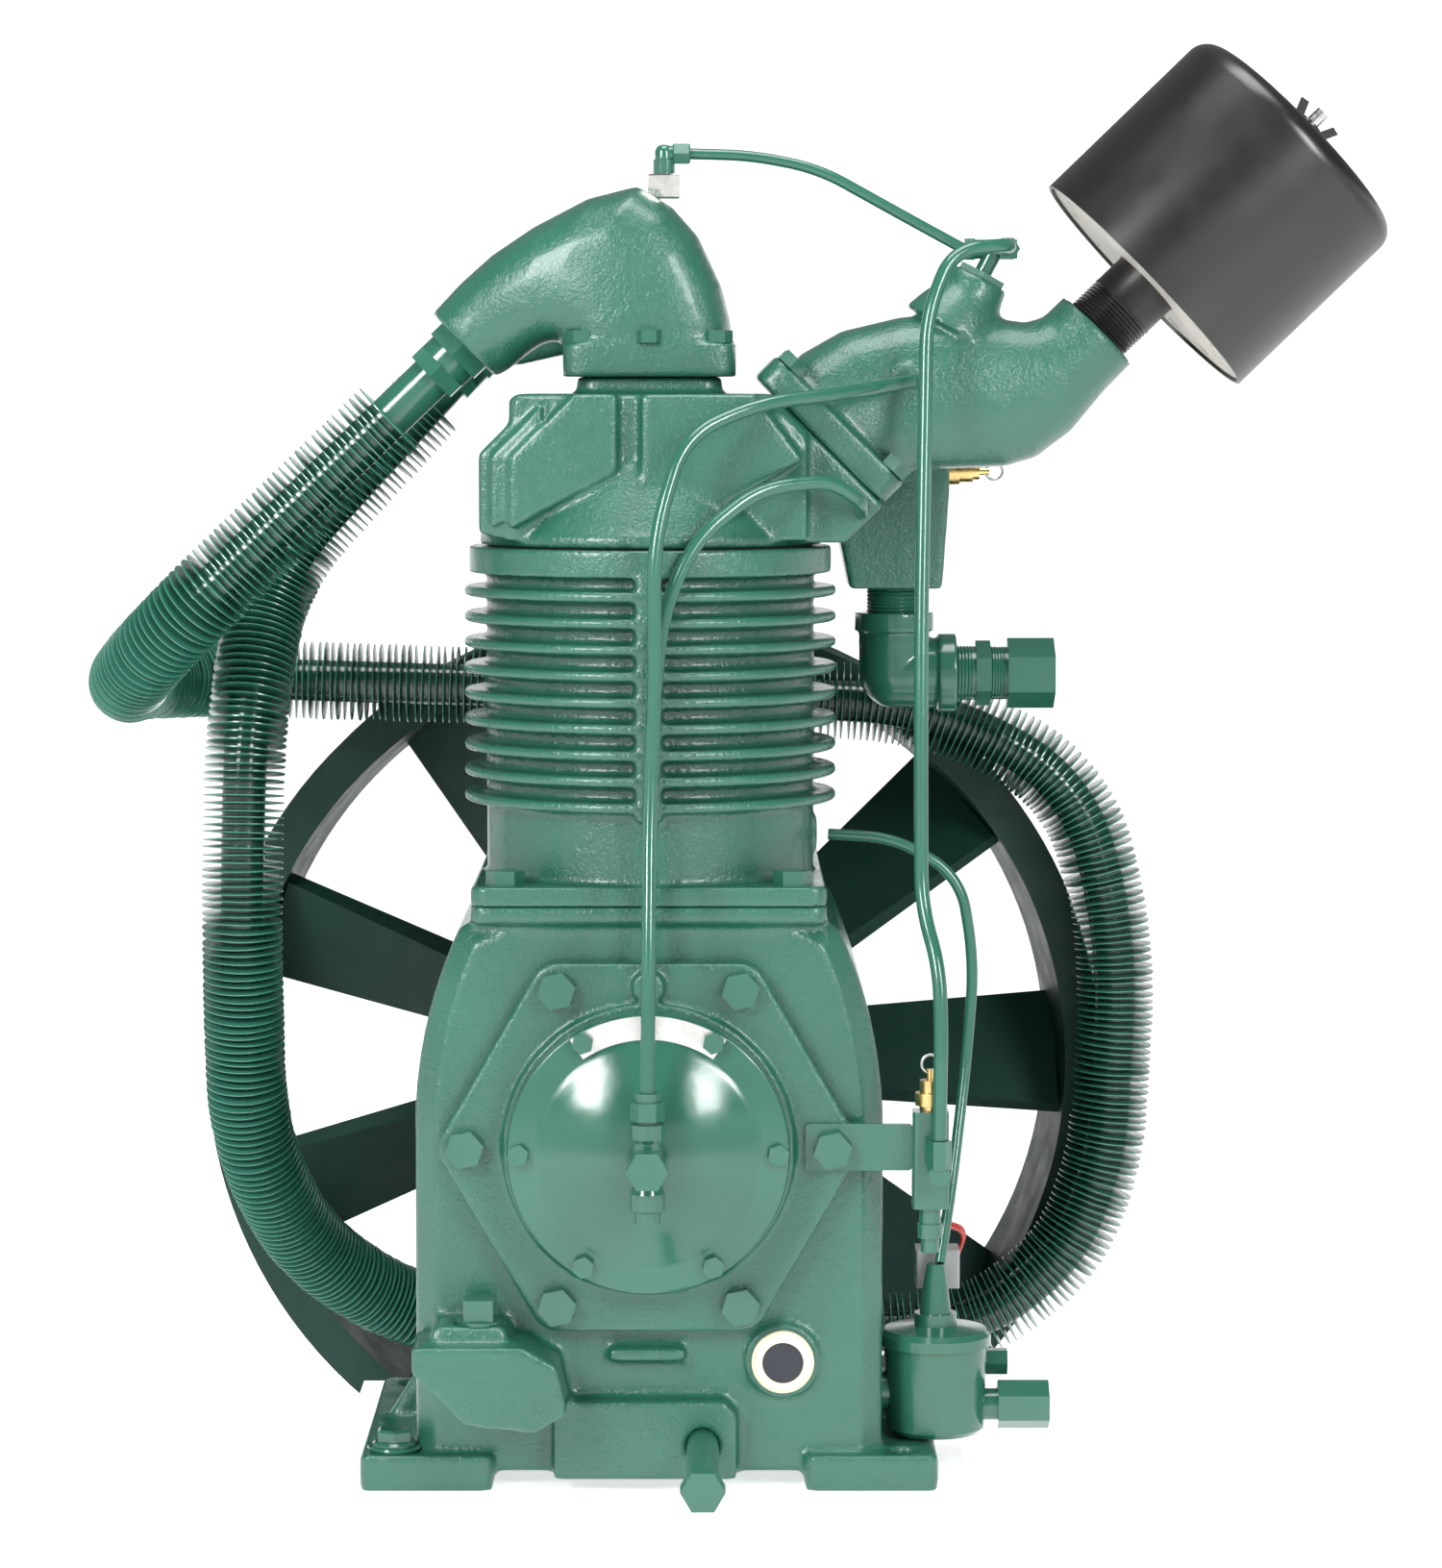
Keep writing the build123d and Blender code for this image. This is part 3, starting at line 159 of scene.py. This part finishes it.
def plastic(name, colour, rough=(0.3, 0.45), depth=0.00005):
    """A moulded or dull non-metal surface."""
    material, tree, surface, place = shader(name)
    dull = tuple(c * 0.85 for c in colour)
    tone = span(tree, noise(tree, place, 80.0, 4.0), 0.0, 1.0)
    tree.links.new(two_tone(tree, tone, dull, colour), surface.inputs["Base Color"])
    tree.links.new(span(tree, noise(tree, place, 160.0, 3.0), *rough), surface.inputs["Roughness"])
    tree.links.new(bump(tree, noise(tree, place, 1500.0, 2.0), 0.4, depth), surface.inputs["Normal"])
    return material


GREEN = (0.019, 0.108, 0.071)
MATERIALS = {
    "cast_enamel": enamel("cast_enamel", GREEN, grain=560.0, grain_depth=0.0012,
                          ripple_depth=0.0016, rough=(0.14, 0.26)),
    "smooth_enamel": enamel("smooth_enamel", GREEN, grain=1400.0, grain_depth=0.00008,
                            ripple_depth=0.00025, rough=(0.12, 0.24)),
    "dark_enamel": enamel("dark_enamel", (0.008, 0.038, 0.029), grain=700.0, grain_depth=0.0007,
                          rough=(0.4, 0.6), coat=0.0, specular=0.25),
    # painted sheen: the pump's green brightened about half again for the fins alone, standing in for the light
    # the thin fins catch; the tube under them keeps the plain green
    "fin_enamel": enamel("fin_enamel", (0.036, 0.165, 0.118), grain_depth=0.0001, coat=0.3),
    "black": enamel("satin_black", (0.004, 0.004, 0.004), grain=1600.0, grain_depth=0.00004,
                    ripple_depth=0.00003, rough=(0.27, 0.33), coat=0.0, specular=0.64),
    "steel": metal("steel", (0.55, 0.55, 0.54)),
    "zinc": metal("zinc", (0.78, 0.78, 0.74), rough=(0.12, 0.3)),
    "brass": metal("brass", (0.75, 0.52, 0.22), rough=(0.18, 0.36)),
    "alloy": metal("alloy", (0.6, 0.6, 0.6)),
    "plate": metal("plate", (0.72, 0.72, 0.7), rough=(0.25, 0.4)),
    "cream": plastic("cream", (0.72, 0.66, 0.48)),
    "lens": plastic("lens", (0.004, 0.007, 0.016), rough=(0.03, 0.08), depth=0.00001),
    "gasket": plastic("gasket", (0.02, 0.02, 0.02), rough=(0.6, 0.8)),
    "paper": plastic("paper", (0.7, 0.64, 0.48), rough=(0.7, 0.9)),
    "box": plastic("box", (0.28, 0.29, 0.29)),
    "underside": plastic("underside", (0.55, 0.52, 0.47), rough=(0.4, 0.55)),
    "lead": plastic("lead", (0.42, 0.03, 0.02), rough=(0.25, 0.4)),
}
CAST_NODES = ("crankcase", "bearing_carrier", "cylinder_block", "cylinder_head", "discharge_manifold",
              "second_stage_inlet", "intake_manifold", "discharge_elbow_casting", "rear_bearing_cover")


def finish_for(node):
    if node == "filter_base":
        return MATERIALS["underside"]
    if SLOT[node] != "enamel":
        return MATERIALS[SLOT[node]]
    return MATERIALS["cast_enamel" if node in CAST_NODES else "smooth_enamel"]


# ---------------------------------------------------------------- places and directions
def at(x, z, y=FIRST_Y):
    return Vector((x, y, z)) * MM


def slope(angle):
    """The direction that climbs at an angle from +X, seen from the front."""
    return Vector((cos(radians(angle)), 0, sin(radians(angle))))


def frame_of(direction):
    """Two unit vectors square to a direction."""
    helper = UP if abs(direction.z) < 0.9 else X_AXIS
    side = direction.cross(helper).normalized()
    return side, direction.cross(side)


# ---------------------------------------------------------------- mesh helpers
def add_object(name, mesh, material, body, slot, *replaced):
    """Put a mesh in the scene as a finished piece that rides on a body."""
    mesh.materials.clear()
    mesh.materials.append(material)
    piece = bpy.data.objects.new(name, mesh)
    bpy.context.scene.collection.objects.link(piece)
    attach(piece, body)
    if replaced:
        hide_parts(*replaced)
    return piece


def mesh_from(bm, name, smooth_angle=40.0):
    bmesh.ops.recalc_face_normals(bm, faces=bm.faces)
    mesh = bpy.data.meshes.new(name)
    bm.to_mesh(mesh)
    bm.free()
    mesh.polygons.foreach_set("use_smooth", [True] * len(mesh.polygons))
    mesh.set_sharp_from_angle(angle=radians(smooth_angle))
    return mesh


def bridge(bm, lower, upper):
    """Skin the band between two rings of the same number of points."""
    count = len(lower)
    for i in range(count):
        j = (i + 1) % count
        bm.faces.new((lower[i], lower[j], upper[j], upper[i]))


def lathe(bm, origin, direction, outline, segments=64):
    """Turn (distance along, radius) points, in millimetres, about an axis.  The ends stay open."""
    direction = direction.normalized()
    side, up = frame_of(direction)
    rings = []
    for along, radius in outline:
        ring = []
        for i in range(segments):
            angle = 2 * pi * i / segments
            ring.append(bm.verts.new(origin + direction * along * MM
                                     + (side * cos(angle) + up * sin(angle)) * radius * MM))
        rings.append(ring)
    for lower, upper in zip(rings, rings[1:]):
        bridge(bm, lower, upper)
    return rings


def close_ends(bm, rings):
    bm.faces.new(reversed(rings[0]))
    bm.faces.new(rings[-1])


def turned(bm, origin, direction, outline, segments=64):
    close_ends(bm, lathe(bm, origin, direction, outline, segments))


def turned_piece(name, origin, direction, outline, material, *replaced):
    bm = bmesh.new()
    turned(bm, origin, direction, outline, 96)
    add_object(name, mesh_from(bm, name, 32.0), MATERIALS[material], "pump",
               SLOT[replaced[0]] if replaced else "enamel", *replaced)


def turned_hex(name, origin, direction, outline, material, slot, *replaced):
    bm = bmesh.new()
    turned(bm, origin, direction, outline, 6)
    add_object(name, mesh_from(bm, name, 20.0), MATERIALS[material], "pump", slot, *replaced)


def thread(start_radius, start, stop, radius, pitch=2.2, depth=0.9):
    """A lathe outline with the ridges of a screw thread from start to stop."""
    outline = [(0, start_radius)]
    for i in range(int((stop - start) / pitch)):
        outline += [(start + i * pitch, radius - depth), (start + (i + 0.5) * pitch, radius)]
    return outline


def closed_loft(bm, stations, segments=48):
    """A closed skin through rounded sections; each is (outer point, inner point, half depth, squareness)."""
    rings = []
    for outer, inner, depth, square in stations:
        middle = (outer + inner) / 2
        across = (outer - inner) / 2
        ring = []
        for i in range(segments):
            c, s = cos(2 * pi * i / segments), sin(2 * pi * i / segments)
            along = abs(c) ** (2 / square) * (1 if c > 0 else -1)
            deep = abs(s) ** (2 / square) * (1 if s > 0 else -1)
            ring.append(bm.verts.new(middle + across * along + Vector((0, depth * MM * deep, 0))))
        rings.append(ring)
    for lower, upper in zip(rings, rings[1:]):
        bridge(bm, lower, upper)
    close_ends(bm, rings)


def soften(bm, name, voxel, passes):
    """Fuse closed shapes into one skin and round its edges and inner corners as sand casting leaves them."""
    mesh = bpy.data.meshes.new(name + "_work")
    bm.to_mesh(mesh)
    bm.free()
    work = bpy.data.objects.new(name + "_work", mesh)
    bpy.context.scene.collection.objects.link(work)
    remesh = work.modifiers.new("remesh", "REMESH")
    remesh.mode = "VOXEL"
    remesh.voxel_size = voxel * MM
    smooth = work.modifiers.new("smooth", "SMOOTH")
    smooth.factor = 0.5
    smooth.iterations = passes
    cast = bpy.data.meshes.new_from_object(work.evaluated_get(bpy.context.evaluated_depsgraph_get()))
    bpy.data.objects.remove(work)
    cast.polygons.foreach_set("use_smooth", [True] * len(cast.polygons))
    return cast


def add_casting(bm, node, voxel, passes):
    """Soften the shapes and let them stand for a node."""
    add_object(node + "_casting", soften(bm, node, voxel, passes), finish_for(node), BODY[node], SLOT[node], node)


# ---------------------------------------------------------------- castings
def casting(node, voxel, passes):
    """Replace a CAD casting with the same shape, softened."""
    bm = bmesh.new()
    bm.from_mesh(NODES[node].data)
    bmesh.ops.remove_doubles(bm, verts=bm.verts, dist=1e-6)
    add_casting(bm, node, voxel, passes)


def discharge_manifold():
    """Thick arch from the head's square flange over to the intercooler."""
    bm = bmesh.new()
    closed_loft(bm, [(at(49, 621), at(-49, 621), 49, 9), (at(49, 640), at(-49, 640), 49, 9)])
    closed_loft(bm, [
        (at(47, 630), at(-47, 630), 47, 3.6), (at(46, 652), at(-48, 638), 48, 3.6),
        (at(41, 672), at(-50, 640), 49, 3.4), (at(28, 700), at(-53, 641), 48, 3.2),
        (at(13, 717), at(-56, 641), 47, 3.1), (at(-7, 729), at(-60, 640), 45, 3.0),
        (at(-35, 722), at(-64, 638), 42, 2.8), (at(-66, 706), at(-70, 634), 38, 2.6),
        (at(-90, 690), at(-76, 629), 33, 2.4), (at(-108, 674), at(-81, 625), 28.5, 2.2),
        (at(-124, 657), at(-88, 621), 25.5, 2.0)])
    bmesh.ops.recalc_face_normals(bm, faces=bm.faces)
    add_casting(bm, "discharge_manifold", 1.8, 7)


def intake_manifold():
    """Round-sectioned branch from the sloping flange to the filter, with the unloader's boss on top."""
    bm = bmesh.new()
    face = at(95.5, 585)
    reach = slope(-45) * 51 * MM
    flange_back = slope(45) * 17 * MM
    closed_loft(bm, [(face - reach, face + reach, 52, 9),
                     (face - reach + flange_back, face + reach + flange_back, 52, 9)])
    closed_loft(bm, [
        (at(76, 624), at(131, 569), 42, 2.6), (at(86, 634), at(142, 564), 40, 2.6),
        (at(109, 647), at(154, 568), 36, 2.5), (at(143, 655), at(180, 569), 34, 2.3),
        (at(175, 657), at(203, 570), 33, 2.2), (at(200, 654), at(220, 575), 31, 2.1),
        (at(214, 652), at(240, 590), 29.5, 2.05), (at(224, 655), at(259, 613), 28, 2.0),
        (at(236, 666.4), at(274.3, 628.6), 27, 2.0)])
    boss_top = at(188, 677)
    boss_axis = Vector((16, 0, 30)).normalized()
    turned(bm, boss_top - boss_axis * 34 * MM, boss_axis, [(0, 30), (12, 25), (24, 18.5), (34, 17)])
    turned(bm, at(146, 618.6, -20), TOWARDS_FRONT, [(0, 10), (18, 9)])
    bmesh.ops.recalc_face_normals(bm, faces=bm.faces)
    add_casting(bm, "intake_manifold", 1.8, 7)


# ---------------------------------------------------------------- filter, pipes and fittings
INLET = at(255, 647.5)
INLET_AXIS = slope(44)
OUTLET_Z = 444.6


def filter_canister():
    """Drawn canister with a rolled edge, a rounded shoulder and a thin wall."""
    shell = [(0.3, 76.6), (0, 77.3), (0.3, 78), (111, 78)]
    shell += [(111 + 12 * sin(radians(a)), 66 + 12 * cos(radians(a))) for a in range(10, 91, 10)]
    shell += [(123, 5), (121, 5), (121, 66)]
    shell += [(111 + 10 * sin(radians(a)), 66 + 10 * cos(radians(a))) for a in range(80, 9, -10)]
    shell += [(111, 76), (0.3, 76)]
    bm = bmesh.new()
    rings = lathe(bm, INLET + INLET_AXIS * 36.5 * MM, INLET_AXIS, shell, 128)
    bridge(bm, rings[-1], rings[0])
    add_object("filter_canister", mesh_from(bm, "filter_canister", 50.0), MATERIALS["black"], "pump",
               SLOT["filter_housing"], "filter_housing")


def pipes():
    """Threads where the pipe nipples and the outlet connector show."""
    turned_piece("filter_pipe", INLET - INLET_AXIS * 14 * MM, INLET_AXIS,
                 thread(19, 14, 34, 21) + [(35, 20.6), (46, 20.6), (62, 20.6)], "black", "filter_nipple")
    turned_piece("discharge_pipe", at(144.5, 466, SECOND_Y), UP,
                 thread(15.5, 2, 36, 16.7) + [(38, 15.8)], "smooth_enamel", "discharge_nipple")
    turned_piece("connector_thread_left", at(181.5, OUTLET_Z, SECOND_Y), X_AXIS,
                 thread(15, 0, 11.4, 16.6, 2), "smooth_enamel")
    turned_piece("connector_thread_right", at(202, OUTLET_Z, SECOND_Y), X_AXIS,
                 thread(15, 0, 10, 16.2, 1.6), "smooth_enamel")


def check_valve():
    """Plated hexagon on the discharge manifold, with a painted elbow and nut above it."""
    turned_hex("check_valve_hex", at(8, 722), UP, [(0, 9.6), (1, 10.4), (13, 10.4), (14, 9.6)],
               "zinc", "zinc", "check_valve")
    bm = bmesh.new()
    turned(bm, at(8, 736), UP,
           [(0, 6.2), (8, 6.2), (8.5, 5.2), (13, 5.2), (15.5, 4), (16.6, 2)], 48)
    turned(bm, at(8, 747.5), X_AXIS, [(0, 4.6), (6, 4.6)], 48)
    add_object("check_valve_elbow", mesh_from(bm, "check_valve_elbow"), MATERIALS["smooth_enamel"], "pump",
               "enamel")
    turned_hex("check_valve_nut", at(13, 747.5), X_AXIS, [(0, 5.8), (0.8, 6.6), (9.2, 6.6), (10, 5.8)],
               "smooth_enamel", "enamel")


def end_cover():
    """Spun cover with a smooth dome inside its flat rim."""
    outline = [(28, 0.3), (26, 22), (19, 40), (6, 54), (0, 54), (0, 78), (14.5, 78), (16.3, 77.3), (17, 75.5),
               (17, 64), (17.4, 62.2)]
    outline += [(17.6 + 18.4 * (1 - (r / 61.4) ** 2), r) for r in (59, 55, 50, 45, 39, 33, 27, 21, 15, 9, 4, 0.3)]
    bm = bmesh.new()
    turned(bm, at(0, 194, -112), TOWARDS_FRONT, outline, 128)
    add_object("domed_cover", mesh_from(bm, "domed_cover", 30.0), MATERIALS["smooth_enamel"], "pump", "enamel",
               "end_cover")


def foot_bolt():
    """The one bolt left in the front foot: washer, flange and hexagon head."""
    bm = bmesh.new()
    turned(bm, at(-143, 20, -87), UP, [(0, 14.5), (1.6, 15.5), (2.8, 14.8)], 48)
    turned(bm, at(-143, 22.8, -87), UP, [(0, 12.5), (1.2, 12.5), (2.5, 11)], 48)
    turned(bm, at(-143, 25, -87), UP, [(0, 10.5), (5.8, 10.5), (7.2, 9.2)], 6)
    add_object("foot_bolt", mesh_from(bm, "foot_bolt", 25.0), MATERIALS["smooth_enamel"], "pump", "enamel")


# ---------------------------------------------------------------- intercooler
COOLER_ROUTE = [Vector(p) * MM for p in (
    (-106, -3, 639), (-310, -3, 443), (-306, 191, 438), (-100, 191, 432), (170, 191, 420), (262, 191, 372),
    (287, 191, 270), (280, 191, 140), (258, 191, 80), (205, 191, 36), (100, 191, 27), (-150, 191, 40),
    (-212, 140, 92), (-240, 72, 170), (-240, 43, 300), (-238, 55, 420), (-226, 95, 505), (-104, 113, 638))]
TUBE_R = 12.7
TUBE_STEP = 6.0
FIN_R = 24.0
FIN_PITCH = 4.3
FIN_HALF_ROOT, FIN_HALF_EDGE = 1.3, 0.3
BARE_START, BARE_END = 64.0, 44.0     # the tube is free of fins for this far at each end
BEND_SHARE = 0.45


def bent_path(points, step):
    """Even samples (place, direction) along straight runs joined by tangent arcs, as a bender makes them."""
    dense = [points[0]]
    for before, corner, after in zip(points, points[1:], points[2:]):
        run_in, run_out = corner - before, after - corner
        reach = BEND_SHARE * min(run_in.length, run_out.length)
        turn = run_in.angle(run_out)
        heading = run_in.normalized()
        start = corner - heading * reach
        radius = reach / tan(turn / 2)
        centre = start + (run_out - heading * run_out.dot(heading)).normalized() * radius
        axis = run_in.cross(run_out).normalized()
        for i in range(25):
            dense.append(centre + Matrix.Rotation(turn * i / 24, 3, axis) @ (start - centre))
    dense.append(points[-1])
    samples = []
    travelled, next_stop = 0.0, 0.0
    for a, b in zip(dense, dense[1:]):
        length = (b - a).length
        while length > 1e-9 and next_stop <= travelled + length:
            samples.append((a.lerp(b, (next_stop - travelled) / length), (b - a).normalized()))
            next_stop += step * MM
        travelled += length
    return samples


def tube_mesh(name, samples, radius, segments=40):
    bm = bmesh.new()
    side, _ = frame_of(samples[0][1])
    rings = []
    for place, direction in samples:
        side = (side - direction * side.dot(direction)).normalized()
        up = direction.cross(side)
        ring = []
        for i in range(segments):
            angle = 2 * pi * i / segments
            ring.append(bm.verts.new(place + (side * cos(angle) + up * sin(angle)) * radius * MM))
        rings.append(ring)
    for lower, upper in zip(rings, rings[1:]):
        bridge(bm, lower, upper)
    close_ends(bm, rings)
    return mesh_from(bm, name)


def intercooler():
    """The bent tube, and its thin fins one by one, none of them quite square."""
    random.seed(11)
    add_object("intercooler_core", tube_mesh("intercooler_core", bent_path(COOLER_ROUTE, TUBE_STEP), TUBE_R),
               MATERIALS["smooth_enamel"], "pump", "fin_enamel", "intercooler_tube")
    samples = bent_path(COOLER_ROUTE, FIN_PITCH)
    first = int(BARE_START / FIN_PITCH)
    last = len(samples) - int(BARE_END / FIN_PITCH)
    root = TUBE_R - 0.2
    bm = bmesh.new()
    for place, direction in samples[first:last]:
        lean = Euler([radians(random.uniform(-1.6, 1.6)) for _ in range(3)]).to_matrix()
        outer = FIN_R - random.uniform(0.0, 0.5)
        lathe(bm, place, lean @ direction, [(-FIN_HALF_ROOT, root), (-FIN_HALF_EDGE, outer),
                                            (FIN_HALF_EDGE, outer), (FIN_HALF_ROOT, root)], 36)
    # the fins take the brightened green, a painted sheen; the core above keeps the plain green
    add_object("intercooler_fin_pack", mesh_from(bm, "intercooler_fin_pack", 30.0),
               MATERIALS["fin_enamel"], "pump", "fin_enamel", "intercooler_fins")


# ---------------------------------------------------------------- stage, light and camera, in metres
FLOOR_R, SWEEP_R, WALL_TOP = 7.0, 1.5, 2.1
FOCAL_MM = 106.5
CAMERA = Vector((0.0284, -2.657, 0.6153))
PITCH = -4.0
SHIFT = (0.0135, -0.0464)
WORLD_STRENGTH = 0.26
# name, place, target, width and height, power in watts
LIGHTS = (
    ("left_box", (-1.5, -2.0, 1.6), (0, 0, 0.35), (0.7, 1.1), 72),
    ("right_box", (1.5, -2.1, 1.5), (0, 0, 0.35), (0.6, 1.1), 50),
    ("top_box", (0.1, -0.3, 2.6), (0, 0, 0.3), (1.5, 1.2), 44),
)


def studio():
    scene = bpy.context.scene
    world = bpy.data.worlds.new("studio")
    world.use_nodes = True
    world.node_tree.nodes["Background"].inputs["Color"].default_value = (1, 1, 1, 1)
    world.node_tree.nodes["Background"].inputs["Strength"].default_value = WORLD_STRENGTH
    scene.world = world
    for name, place, target, size, power in LIGHTS:
        data = bpy.data.lights.new(name, "AREA")
        data.shape = "RECTANGLE"
        data.size, data.size_y = size
        data.energy = power
        lamp = bpy.data.objects.new(name, data)
        lamp.location = place
        lamp.rotation_euler = (Vector(target) - Vector(place)).to_track_quat("-Z", "Y").to_euler()
        scene.collection.objects.link(lamp)
    camera = bpy.data.objects.new("camera", bpy.data.cameras.new("camera"))
    camera.data.lens = FOCAL_MM
    camera.data.sensor_width = 36.0
    camera.data.clip_end = 100.0
    camera.data.shift_x, camera.data.shift_y = SHIFT
    camera.location = CAMERA
    camera.rotation_euler = (radians(90 + PITCH), 0, 0)
    scene.collection.objects.link(camera)
    scene.camera = camera
    scene.view_settings.view_transform = "Standard"


def stage():
    """A pale floor that curves up into a low wall all the way round, and a block under the feet."""
    floor_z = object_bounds()[0].z - 0.0005
    section = [(0.0, 0.01), (0.0, FLOOR_R)]
    section += [(SWEEP_R * (1 - cos(radians(a))), FLOOR_R + SWEEP_R * sin(radians(a))) for a in range(6, 91, 6)]
    section += [(WALL_TOP, FLOOR_R + SWEEP_R)]
    bm = bmesh.new()
    rings = lathe(bm, UP * floor_z, UP, [(height / MM, radius / MM) for height, radius in section], 96)
    bm.faces.new(rings[0])
    sheet = bpy.data.objects.new("sheet", mesh_from(bm, "sheet"))
    bm = bmesh.new()
    feet_low, feet_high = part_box("crankcase")
    size = (0.36, feet_high.y - feet_low.y - 0.02, -floor_z)
    middle = Vector((0, (feet_low.y + feet_high.y) / 2 + 0.012, floor_z / 2 - 0.0002))
    bmesh.ops.create_cube(bm, size=1.0, matrix=Matrix.Translation(middle) @ Matrix.Diagonal((*size, 1)))
    block = bpy.data.objects.new("block", mesh_from(bm, "block"))
    pale = plastic("pale_sheet", (0.9, 0.9, 0.9), rough=(0.75, 0.9))
    surface = pale.node_tree.nodes["Principled BSDF"]
    surface.inputs["Emission Color"].default_value = (1, 1, 1, 1)
    surface.inputs["Emission Strength"].default_value = 0.65
    for obj in (sheet, block):
        obj.data.materials.append(pale)
        bpy.context.scene.collection.objects.link(obj)
        obj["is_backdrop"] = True


# ---------------------------------------------------------------- build
for node, obj in NODES.items():
    for material_slot in obj.material_slots:
        material_slot.material = finish_for(node)

# voxel size in millimetres, then smoothing passes
casting("crankcase", 2.2, 6)
casting("cylinder_block", 1.6, 4)
casting("bearing_carrier", 1.6, 6)
casting("cylinder_head", 2.0, 8)
casting("second_stage_inlet", 2.0, 20)
casting("discharge_elbow_casting", 1.6, 14)
casting("discharge_elbow", 1.0, 5)
discharge_manifold()
intake_manifold()
filter_canister()
pipes()
check_valve()
end_cover()
foot_bolt()
intercooler()
studio()
stage()
